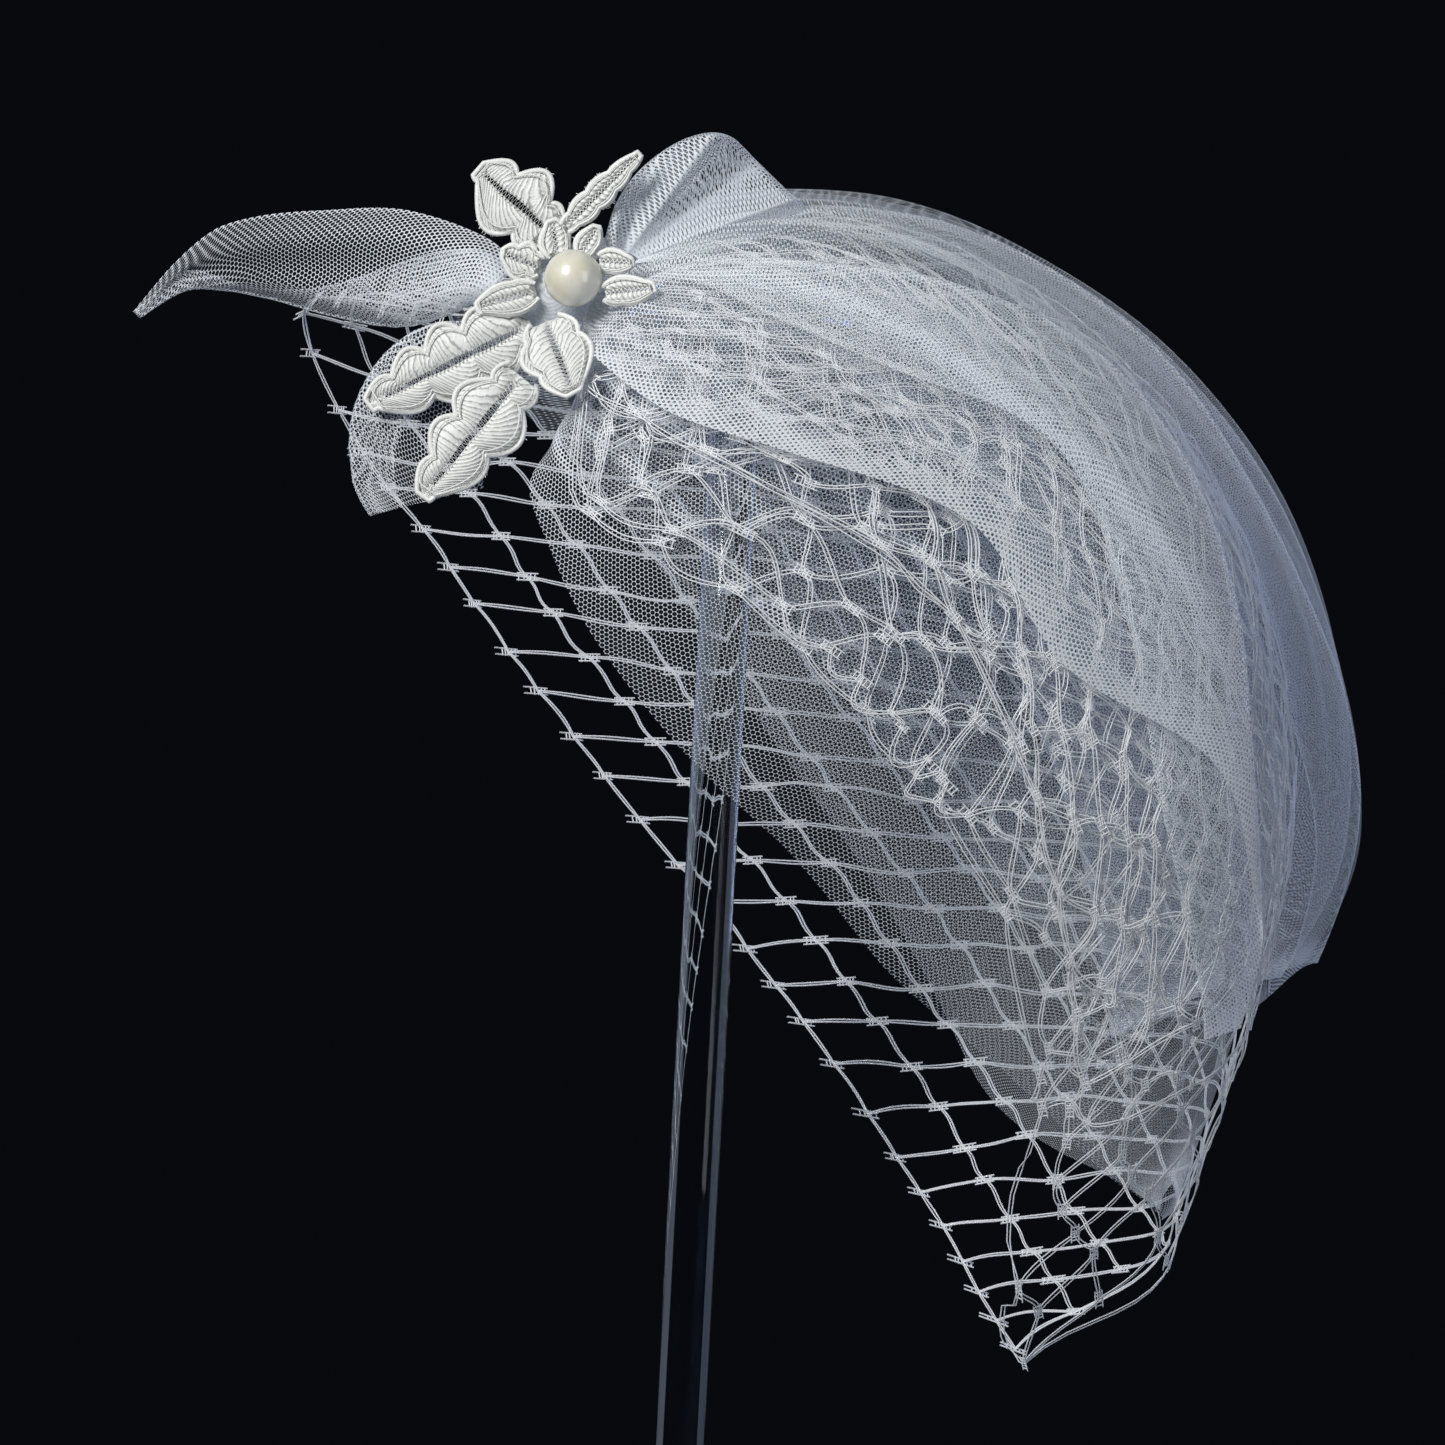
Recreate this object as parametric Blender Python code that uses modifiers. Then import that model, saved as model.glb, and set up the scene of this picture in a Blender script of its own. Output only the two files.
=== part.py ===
"""A short bridal veil of tulle and diamond netting, gathered into a knot with lace leaves and a pearl,
held up by a clear display stand. Metres, +Z up, origin on the floor under the middle of the stand."""

import math

import bmesh
import bpy
import numpy as np
from mathutils import Vector

MM = 0.001

# Driving sizes of the cloth, in millimetres
CLOTH = 1.1  # thickness of every cloth wall
RIBBON_CLOTH = 1.4  # the same for tails and loop, measured at the middle, so their cupped sides pass 1 mm
SEAM = 0.3  # gap left between pieces that touch
KNOT_CENTRE = (-33.2, -52.2, 306.5)
KNOT_RADII = (8.2, 9.5, 10.6)
PEARL_DIAMETER = 10.0
PEARL_CENTRE = (-29.0, -68.2, 308.2)

# Driving sizes of the stand, in millimetres
BASE_DIAMETER = 150.0
BASE_HEIGHT = 8.0
ROD_DIAMETER = 9.5
CAP_DIAMETER = 44.0
CAP_HEIGHT = 9.0
CAP_RIM = 3.0

# The veil is a hood, open to the lower left. One row for each section, from the throat at the knot
# (row 0) to the tip of the net. Each section is an arch over three places, in millimetres: the near
# hem, the crest and the far hem. The bulges are how far the two sides swell past their hems.
SECTION_COLUMNS = (
    "near_x", "near_y", "near_z", "crest_x", "crest_y", "crest_z",
    "far_x", "far_y", "far_z", "near_bulge", "far_bulge", "sag",
)
SECTIONS = (
    (-26.5, -56, 295.5, -17.5, -48, 315.5, -33, -41, 302, 0, 0, 0),
    (-30, -61, 283, -8, -38, 317, -58, 2, 306, 3, 2, 0),
    (-35, -64, 273, 6, -22, 321, -86, 42, 309, 7, 6, 0),
    (-31, -67, 262, 27, -8, 322, -75, 60, 284, 11, 10, 0),
    (-22, -70, 246, 48, 0, 316, -61, 66, 268, 13, 12, 0),
    (-4, -70, 226, 72, 0, 300, -45, 70, 247, 14, 12, 0),
    (14, -66, 210, 91, 0, 276, -20, 73, 218, 14, 12, 0),
    (31, -58, 192, 102, 0, 248, 6, 71, 190, 14, 11, 0),
    (46, -48, 180, 106, 0, 221, 25, 65, 168, 13, 9, 0),
    (60, -38, 166, 103, 0, 196, 41, 55, 147, 10, 6, 1),
    (60, -30, 149, 99, 0, 178, 50, 44, 135, 6, 3, 3),
    (60, -20, 132, 94, 0, 161, 56, 31, 125, 3, 1, 5),
    (62, -10, 118, 89, 0, 147, 62, 14, 117, 0, 0, 7),
)
SAG_WAY = (0.6, 0.0, -0.8)  # the way the sag hangs, along the run of the veil

# Where each layer's own hems run on the hood, as the share of the way from the hood's hem up to its
# crest: one row for each section that the layer reaches, near side and far side.
TULLE_HEMS = (
    (0.0, 0.30), (0.0, 0.30), (0.0, 0.30), (0.0, 0.30), (0.0, 0.30), (0.0, 0.28), (0.0, 0.26),
    (0.0, 0.26), (0.0, 0.26), (0.03, 0.28), (0.30, 0.42), (0.66, 0.70), (0.97, 0.97),
)
NET_HEMS = (
    (0.26, 0.0), (0.28, 0.0), (0.27, 0.0), (0.12, 0.0), (0.22, 0.0), (0.26, 0.0), (0.26, 0.0),
    (0.26, 0.0), (0.20, 0.0), (0.04, 0.0), (0.0, 0.0), (0.0, 0.0), (0.0, 0.0),
)
NET_FOLD_HEMS = (
    (0.30, 0.94), (0.31, 0.92), (0.32, 0.90), (0.33, 0.88), (0.40, 0.86), (0.46, 0.84),
    (0.44, 0.80), (0.38, 0.82), (0.30, 0.86), (0.20, 0.88), (0.26, 0.82), (0.45, 0.70),
)
OUTER_HEMS = (
    (0.34, 0.45), (0.35, 0.45), (0.36, 0.45), (0.36, 0.45), (0.45, 0.44), (0.56, 0.42),
    (0.54, 0.40), (0.68, 0.42), (0.71, 0.50), (0.78, 0.70),
)

# The layers, inside to outside: hems, last section, how far the cloth stands off the hood's form at the
# throat and in the open, and the grid's cells along and across
LAYERS = {
    "veil_tulle": (TULLE_HEMS, 11.6, 0.0, 0.0, (24, 32)),
    "birdcage_net": (NET_HEMS, 12.0, 1.4, 2.2, (24, 26)),
    "net_fold": (NET_FOLD_HEMS, 11.0, 2.8, 4.4, (22, 10)),
    "outer_tulle": (OUTER_HEMS, 9.0, 4.2, 6.6, (24, 34)),
}
THROAT_SECTIONS = 2.0  # sections over which a layer rises from its seat at the throat

# The gathers that run out of the knot, over every layer: angle round the arch in degrees from the near
# hem, width in degrees, height in millimetres, and the section where the gather has died away
GATHERS = (
    (14, 8, 1.8, 5.5), (32, 8, 2.2, 7.0), (50, 8, 2.4, 8.0), (67, 8, 2.2, 7.5), (84, 8, 2.6, 9.0),
    (101, 8, 2.4, 8.0), (118, 8, 2.2, 7.0), (136, 8, 2.0, 6.0), (154, 8, 1.6, 5.5),
)

GATHER_START = 0.35  # share of its height that a gather has at the throat, before easing
GATHER_RISE = 3.0  # sections over which it grows by one more height
GATHER_END = 1.2  # how far past its end section a gather is felt

# The puffs of the outer tulle: angle round the arch, width in degrees, height in millimetres, and the
# sections where the puff starts, is fullest and ends
PUFFS = (
    (50, 12, 8.0, 1.5, 5.5, 8.6),
    (80, 11, 5.0, 3.5, 7.0, 9.6),
    (106, 15, 16.0, 3.5, 8.0, 9.9),
    (134, 12, 5.0, 3.0, 6.5, 9.4),
)

# Ribbons of tulle: one row for each cross line, with its middle, its width, its roll about the run in
# degrees and how deep it cups, in millimetres
RIBBON_COLUMNS = ("x", "y", "z", "width", "roll", "cup")
TAIL_UPPER = (
    (-42.3, -50.5, 307.5, 8, 0, 1.5), (-47.5, -48.5, 310, 14, 0, 3), (-60, -42, 311, 21, 10, 4),
    (-74, -35, 312, 20, 20, 4), (-86, -30, 313, 17, 30, 3.5), (-94, -29, 312.5, 13, 36, 3),
    (-102, -30, 309, 6, 40, 1.5), (-109.5, -32, 301.5, 1.5, 40, 0),
)
TAIL_LOWER = (
    (-39.4, -55, 299.2, 9, 5, 1.5), (-43, -56, 294.5, 19, 4, 2.5), (-49, -58, 288, 27, 2, 2.5),
    (-53, -60, 281, 28, -4, 1.5), (-54, -61.5, 274.5, 25, -8, 1.2), (-52.5, -62, 268.5, 21, -10, 1),
)
BOW_LOOP = (
    (-23.5, -60, 318, 8, -30, 0.5), (-20, -60.5, 323, 13, -20, 1.5), (-15, -59.5, 327.5, 16, -10, 2.5),
    (-8, -57.5, 329, 17, 0, 3), (-1, -55.5, 329, 14.5, 10, 2.5), (5.5, -53.6, 326.6, 8, 20, 1),
)

WAVE_TURN = 3.2 * math.pi  # how far the soft folds turn over a ribbon's width

# Lace leaves and petals: where each starts and ends, its widest width, how many lobes its sides have
# and how far its middle stands forward, in millimetres
LEAF_COLUMNS = ("base", "tip", "width", "lobes", "crown")
LEAVES = {
    "lace_leaf_long": ((-35.5, -60.9, 301.5), (-63.5, -65.0, 284.5), 10.5, 4, 1.2),
    "lace_leaf_low": ((-38.0, -64.4, 293.0), (-53, -67.4, 269), 11.5, 2, 1.2),
    "lace_leaf_broad": ((-31.4, -66.4, 301.8), (-27.8, -73.2, 288.2), 9.0, 1, 1.0),
    "lace_leaf_top": ((-35.0, -59.8, 314.0), (-49.5, -59.2, 325.5), 11.0, 2, 1.0),
    "lace_sprig": ((-29.6, -65.0, 315.5), (-18.8, -68.2, 331), 3.6, 3, 0.4),
    "petal_left": ((-36.2, -62.4, 306.4), (-46.2, -62.8, 303.2), 5.2, 1, 0.8),
    "petal_upper_left": ((-35.8, -61.6, 310.0), (-43.0, -61.6, 312.6), 5.4, 2, 0.6),
    "petal_top": ((-32.2, -62.2, 312.3), (-34.0, -62.0, 319.6), 4.8, 1, 0.6),
    "petal_upper_right": ((-26.4, -64.4, 312.8), (-23.4, -64.4, 319.0), 3.6, 1, 0.4),
    "petal_right": ((-23.6, -66.0, 310.6), (-17.6, -67.5, 312.4), 4.0, 1, 0.5),
    "petal_lower_right": ((-23.6, -68.5, 306.0), (-13.8, -71.5, 306.6), 4.6, 1, 0.6),
}
LACE = 1.0  # thickness of a lace plate
LACE_CORD = 0.5  # how far its raised edge stands up
LACE_RIB = 0.35  # how far its middle rib stands up


def clear_scene():
    """Starts from nothing, whatever the file held."""
    for old in list(bpy.data.objects):
        bpy.data.objects.remove(old)
    collection = bpy.data.collections.new("bridal_veil")
    bpy.context.scene.collection.children.link(collection)
    return collection


def material(name, colour, roughness, metallic=0.0, alpha=1.0):
    made = bpy.data.materials.new(name)
    made.use_nodes = True
    shader = made.node_tree.nodes["Principled BSDF"]
    shader.inputs["Base Color"].default_value = (*colour, 1.0)
    shader.inputs["Roughness"].default_value = roughness
    shader.inputs["Metallic"].default_value = metallic
    shader.inputs["Alpha"].default_value = alpha
    return made


def put(mesh, name, collection, finish):
    """Names a mesh as one sub-part, with its material."""
    made = bpy.data.objects.new(name, mesh)
    collection.objects.link(made)
    mesh.materials.append(finish)
    mesh.shade_smooth()
    return made


def along(rows, place):
    """The row of a table at a place between its rows, on a smooth curve through all of them."""
    table = np.asarray(rows, float)
    last = len(table) - 1
    place = min(max(place, 0.0), float(last))
    i = min(int(place), last - 1)
    t = place - i
    before, start = table[max(i - 1, 0)], table[i]
    end, after = table[i + 1], table[min(i + 2, last)]
    return 0.5 * (
        2 * start
        + (end - before) * t
        + (2 * before - 5 * start + 4 * end - after) * t * t
        + (3 * start - before - 3 * end + after) * t * t * t
    )


def ease(t):
    """0 before 0, 1 after 1, and a smooth rise between."""
    t = min(max(t, 0.0), 1.0)
    return t * t * (3 - 2 * t)


def bump(angle, centre, width):
    """A soft ridge, 1 at its centre and gone two widths away."""
    return math.exp(-(((angle - centre) / width) ** 2))


def hood_point(section, angle):
    """A point of the hood's smooth form: angle runs from 0 at the near hem over 90 at the crest to 180."""
    row = dict(zip(SECTION_COLUMNS, along(SECTIONS, section)))
    crest = np.array([row["crest_x"], row["crest_y"], row["crest_z"]])
    side = "near" if angle <= 90 else "far"
    turn = math.radians(angle if angle <= 90 else 180 - angle)
    hem = np.array([row[f"{side}_x"], row[f"{side}_y"], row[f"{side}_z"]])
    foot = np.array([hem[0], crest[1], hem[2]])
    swell = row[f"{side}_bulge"] * math.sin(2 * turn) * (-1 if side == "near" else 1)
    across = (hem - foot) * math.cos(turn) + np.array([0.0, swell, 0.0])
    across += np.array(SAG_WAY) * row["sag"] * math.sin(2 * turn) ** 2
    return foot + across + (crest - foot) * math.sin(turn)


def hood_normal(section, angle):
    """The way out of the hood, square to its form."""
    step, turn = 0.15, 1.5  # how far to each side the form is felt, in sections and degrees
    low, high = max(section - step, 0.0), min(section + step, len(SECTIONS) - 1.0)
    start, end = max(angle - turn, 0.0), min(angle + turn, 180.0)
    run = hood_point(high, angle) - hood_point(low, angle)
    round_it = hood_point(section, end) - hood_point(section, start)
    out = np.cross(run, round_it)
    return out / max(np.linalg.norm(out), 1e-9)


def gathers(section, angle):
    """How far the gathers lift the cloth at a place: low at the throat, then high, then fading out."""
    total = 0.0
    for centre, width, height, end in GATHERS:
        rise = ease(GATHER_START + section / GATHER_RISE)
        fall = ease(GATHER_END - section / end)
        total += height * rise * fall * bump(angle, centre, width)
    return total


def puffs(section, angle):
    """How far the outer tulle puffs out at a place."""
    total = 0.0
    for centre, width, height, start, full, end in PUFFS:
        rise = ease((section - start) / (full - start))
        fall = ease((end - section) / (end - full))
        total += height * rise * fall * bump(angle, centre, width)
    return total


def layer_point(name, share, across, off):
    """A point of one layer of the hood: share runs from the throat to its last section, and across from
    its first hem to its last. The net's fold has both hems on the near side, and the other layers reach
    over the crest."""
    hems, last, seat, open_air, _ = LAYERS[name]
    section = share * last
    start, end = (math.degrees(math.asin(min(max(hem, 0.0), 1.0))) for hem in along(hems, section))
    if name != "net_fold":
        end = 180 - end
    angle = start + (end - start) * across
    lift = seat + (open_air - seat) * ease(section / THROAT_SECTIONS) + gathers(section, angle)
    if name == "outer_tulle":
        lift += puffs(section, angle)
    return hood_point(section, angle) + hood_normal(section, angle) * (lift + off)


def wall(name, long_cells, cross_cells, place, collection, finish):
    """A closed cloth wall from a flat grid: place gives the point for a share along, a share across
    and a side, 0 for the inner face and 1 for the outer one."""
    bm = bmesh.new()
    bmesh.ops.create_grid(bm, x_segments=long_cells, y_segments=cross_cells, size=0.5)
    shares = {v: (v.co.x + 0.5, v.co.y + 0.5) for v in bm.verts}
    inner = list(bm.verts)
    made = bmesh.ops.extrude_face_region(bm, geom=bm.faces[:], use_keep_orig=True)
    outer = [g for g in made["geom"] if isinstance(g, bmesh.types.BMVert)]
    for v in outer:
        shares[v] = (v.co.x + 0.5, v.co.y + 0.5)
    for side, verts in enumerate((inner, outer)):
        for v in verts:
            v.co = Vector(place(*shares[v], side)) * MM
    bmesh.ops.recalc_face_normals(bm, faces=bm.faces[:])
    mesh = bpy.data.meshes.new(name)
    bm.to_mesh(mesh)
    bm.free()
    return put(mesh, name, collection, finish)


def hood_layer(name, collection, finish):
    """One layer of the veil, from the throat to its last section."""

    def place(share, across, side):
        return layer_point(name, share, across, CLOTH * (side - 0.5))

    return wall(name, *LAYERS[name][-1], place, collection, finish)


def ribbon_frame(rows, place):
    """A ribbon's row, and the ways across and out of the ribbon, at a place in its table."""
    row = dict(zip(RIBBON_COLUMNS, along(rows, place)))
    ahead = along(rows, place + 0.05)[:3] - along(rows, place - 0.05)[:3]
    run = Vector(ahead).normalized()
    out = Vector((0, -1, 0)) - run * run.dot(Vector((0, -1, 0)))
    out = out.normalized()
    across = run.cross(out)
    roll = math.radians(row["roll"])
    return (
        row,
        across * math.cos(roll) + out * math.sin(roll),
        out * math.cos(roll) - across * math.sin(roll),
    )


def ribbon(name, rows, cells, collection, finish, waves=0.0):
    """A band of tulle: it cups across its width, and waves is how far soft folds along it stand up."""

    def place(share, across, side):
        row, wide, out = ribbon_frame(rows, share * (len(rows) - 1))
        t = 2 * across - 1
        stand = row["cup"] * (1 - t * t) + waves * math.sin(WAVE_TURN * across) * ease(3 * share)
        stand += RIBBON_CLOTH * side
        return Vector((row["x"], row["y"], row["z"])) + wide * (t * row["width"] / 2) + out * stand

    return wall(name, *cells, place, collection, finish)


def leaf(name, collection, finish):
    """A lace leaf: a lobed plate, widest near its base, with a raised cord round it and a raised rib
    down its middle."""
    row = dict(zip(LEAF_COLUMNS, LEAVES[name]))
    width, lobes = row["width"], row["lobes"]
    start, end = Vector(row["base"]), Vector(row["tip"])
    run = (end - start).normalized()
    out = Vector((0, -1, 0)) - run * run.dot(Vector((0, -1, 0)))
    out = out.normalized()
    wide = run.cross(out)

    def half_width(t):
        body = math.sin(math.pi * (0.06 + 0.90 * t)) ** 0.62 * (1.12 - 0.42 * t)
        return width / 2 * body * (0.84 + 0.16 * abs(math.cos(lobes * math.pi * t)))

    def place(share, across, side):
        t = 2 * across - 1
        stand = row["crown"] * math.sin(math.pi * share) * (1 - t * t)
        if side:
            edge = abs(t) == 1 or share in (0, 1)
            stand += LACE + (LACE_CORD if edge else 0.0) + LACE_RIB * bump(t, 0.0, 0.2)
        return start + (end - start) * share + wide * (t * half_width(share)) + out * stand

    return wall(name, 3 * lobes + 5, 6, place, collection, finish)


def ball(name, centre, radii, cells, collection, finish, pleats=0, depth=0.0):
    """A pearl, or with pleats the gathered knot under it."""
    bm = bmesh.new()
    bmesh.ops.create_uvsphere(bm, u_segments=cells[0], v_segments=cells[1], radius=1.0)
    for v in bm.verts:
        turn = math.atan2(v.co.z, v.co.x)
        pull = 1 - depth * (0.5 + 0.5 * math.cos(pleats * turn)) if pleats else 1.0
        v.co = Vector(
            (
                centre[0] + v.co.x * radii[0] * pull,
                centre[1] + v.co.y * radii[1],
                centre[2] + v.co.z * radii[2] * pull,
            )
        ) * MM
    mesh = bpy.data.meshes.new(name)
    bm.to_mesh(mesh)
    bm.free()
    return put(mesh, name, collection, finish)


def turned(name, profile, collection, finish):
    """A solid of revolution on the stand's axis, from (radius, height) pairs, top to bottom."""
    mesh = bpy.data.meshes.new(name)
    points = [(r * MM, 0.0, z * MM) for r, z in profile]
    mesh.from_pydata(points, [(i, i + 1) for i in range(len(points) - 1)], [])
    made = put(mesh, name, collection, finish)
    screw = made.modifiers.new("turn", "SCREW")
    screw.steps = screw.render_steps = 24
    screw.use_merge_vertices = True
    screw.merge_threshold = 0.00001
    return made


def cap_drop(radius):
    """How far the cap's dome falls from its top at a radius."""
    share = min(radius / (CAP_DIAMETER / 2), 1.0)
    return CAP_HEIGHT * (1 - math.sqrt(1 - share * share))


def height_over_stand():
    """The highest that the cap's top can stand under the veil, in millimetres."""
    highest = 1e9
    for section in np.arange(0.5, 5.01, 0.1):
        for angle in range(30, 181, 2):
            lift = gathers(section, angle) - CLOTH / 2
            inner = hood_point(section, angle) + hood_normal(section, angle) * lift
            radius = math.hypot(inner[0], inner[1])
            if radius < CAP_DIAMETER / 2:
                highest = min(highest, inner[2] + cap_drop(radius))
    return highest - SEAM


def stand(collection, acrylic):
    """A clear base, a rod and a small domed cap that the veil rests on."""
    top = height_over_stand()
    rim = top - CAP_HEIGHT
    base = BASE_DIAMETER / 2
    turned(
        "stand_base",
        [(0, BASE_HEIGHT), (base - 3, BASE_HEIGHT), (base - 1, BASE_HEIGHT - 0.8),
         (base, BASE_HEIGHT - 2.6), (base, 1.2), (base - 1.2, 0), (0, 0)],
        collection, acrylic,
    )
    rod = ROD_DIAMETER / 2
    foot, head = BASE_HEIGHT + SEAM, rim - CAP_RIM - SEAM
    turned(
        "stand_rod",
        [(0, head), (rod - 0.4, head), (rod, head - 0.4), (rod, foot + 0.4), (rod - 0.4, foot), (0, foot)],
        collection, acrylic,
    )
    cap = CAP_DIAMETER / 2
    dome = [
        (cap * math.sin(math.radians(turn)), rim + CAP_HEIGHT * math.cos(math.radians(turn)))
        for turn in range(0, 91, 15)
    ]
    turned(
        "stand_cap",
        [*dome, (cap, rim - CAP_RIM + 1), (cap - 1, rim - CAP_RIM), (0, rim - CAP_RIM)],
        collection, acrylic,
    )


def main():
    collection = clear_scene()
    tulle = material("tulle", (0.90, 0.92, 0.94), 0.85, alpha=0.6)
    netting = material("netting", (0.92, 0.92, 0.92), 0.6, alpha=0.5)
    lace = material("lace", (0.95, 0.94, 0.90), 0.7)
    pearl = material("pearl", (0.90, 0.86, 0.74), 0.18)
    acrylic = material("clear_acrylic", (0.85, 0.88, 0.92), 0.05, alpha=0.35)

    hood_layer("veil_tulle", collection, tulle)
    hood_layer("birdcage_net", collection, netting)
    hood_layer("net_fold", collection, netting)
    hood_layer("outer_tulle", collection, tulle)
    ribbon("tail_upper", TAIL_UPPER, (16, 8), collection, tulle, waves=0.8)
    ribbon("tail_lower", TAIL_LOWER, (12, 8), collection, tulle, waves=0.6)
    ribbon("bow_loop", BOW_LOOP, (16, 10), collection, tulle, waves=1.2)
    ball("gather_knot", KNOT_CENTRE, KNOT_RADII, (20, 10), collection, tulle, 8, 0.10)
    for name in LEAVES:
        leaf(name, collection, lace)
    radius = PEARL_DIAMETER / 2
    ball("pearl", PEARL_CENTRE, (radius, radius, radius), (16, 10), collection, pearl)
    stand(collection, acrylic)


main()
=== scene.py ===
# %% [markdown]
# # A bridal veil on a display stand
#
# This lesson builds a short bridal veil, the kind called a birdcage veil. It has a hood of fine tulle, a
# net of diamonds over it, a puffed outer layer of tulle, and a headpiece of lace leaves and a pearl. It
# rests on a clear acrylic rod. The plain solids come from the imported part, and each step here puts the
# real cloth, threads or lace where its solid is.

# %% Load the frame
import math

import bmesh
import bpy
import numpy as np
from mathutils import Matrix, Vector


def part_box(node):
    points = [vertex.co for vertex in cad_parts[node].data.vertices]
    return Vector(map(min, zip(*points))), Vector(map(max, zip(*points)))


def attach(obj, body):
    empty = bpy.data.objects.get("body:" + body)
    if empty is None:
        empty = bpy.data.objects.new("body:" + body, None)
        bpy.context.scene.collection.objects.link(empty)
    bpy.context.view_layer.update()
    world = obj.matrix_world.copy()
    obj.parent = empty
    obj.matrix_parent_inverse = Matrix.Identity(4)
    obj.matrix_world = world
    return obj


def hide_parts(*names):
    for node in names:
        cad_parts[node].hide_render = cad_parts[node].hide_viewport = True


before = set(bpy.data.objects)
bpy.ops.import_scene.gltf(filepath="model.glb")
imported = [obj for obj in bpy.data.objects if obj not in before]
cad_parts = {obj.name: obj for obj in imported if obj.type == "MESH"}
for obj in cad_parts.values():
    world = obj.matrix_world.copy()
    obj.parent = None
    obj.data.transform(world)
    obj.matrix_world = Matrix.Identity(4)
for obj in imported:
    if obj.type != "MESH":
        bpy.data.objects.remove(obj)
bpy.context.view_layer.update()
MM = 0.001
print("nodes in the frame:", len(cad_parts))

# %% [markdown]
# ## Finishes
#
# Everything here is white or clear, so the finishes differ in how much they cover and how they shine.
# Colours are written as the sRGB hex values that a picker shows, and one function turns them to the
# linear numbers that Blender works in. One more function adds a shader node with its settings and links.

# %% Colour and node helpers
def linear(hex_colour):
    """The linear colour of an sRGB hex value such as "#f4f0e6"."""
    shares = [int(hex_colour[i : i + 2], 16) / 255 for i in (1, 3, 5)]
    return [s / 12.92 if s <= 0.04045 else ((s + 0.055) / 1.055) ** 2.4 for s in shares] + [1.0]


def add_node(tree, kind, values=(), links=(), **settings):
    """Adds a node: settings are its own choices, values its sockets' numbers, links what feeds them."""
    made = tree.nodes.new(kind)
    for name, value in settings.items():
        setattr(made, name, value)
    for socket, value in dict(values).items():
        made.inputs[socket].default_value = value
    for socket, source in dict(links).items():
        start = source.outputs[0] if isinstance(source, bpy.types.Node) else source
        tree.links.new(start, made.inputs[socket])
    return made


def new_material(name):
    """An empty node material and its tree."""
    made = bpy.data.materials.new(name)
    made.use_nodes = True
    made.node_tree.nodes.clear()
    return made, made.node_tree


def finish_with(tree, shader):
    """Sends a shader to the material's output."""
    add_node(tree, "ShaderNodeOutputMaterial", links={"Surface": shader})


print("helpers ready")

# %% [markdown]
# ## Tulle
#
# Bridal tulle is warp knitted nylon. Its holes are hexagons about 0.7 mm apart, and the thread between
# them is much thinner than the hole, so one layer is mostly air. The holes could be cut as geometry, but
# the veil has over a hundred thousand of them. Instead the material lets the eye through at each hole.
# It reads the cloth's own UV map, which is laid out in metres along the threads, so the holes keep their
# real size and follow every fold. A second number on the mesh says how tightly the cloth is gathered, and
# there the holes close.

# %% Tulle material
TULLE_WHITE = "#f2f6fa"
HOLE_PITCH = 0.85 * MM  # real tulle is nearer 0.7 mm, which is too fine to show in the picture
HOLE_RADIUS = 0.478  # in pitches
HOLE_EDGE = 0.05  # how soft a hole's rim is, in pitches
HOLE_CLOSED = 0.12  # a hole's radius where the cloth is tightly gathered, in pitches
HAZE = 0.01  # what the finest fibres in a hole still cover
SWAY_SCALE = 45.0  # how often the rows of holes wander, in waves a metre
SWAY = 1.6 * MM  # and how far
GLOW = 0.25  # the share of a thread's light that comes from behind it


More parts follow.
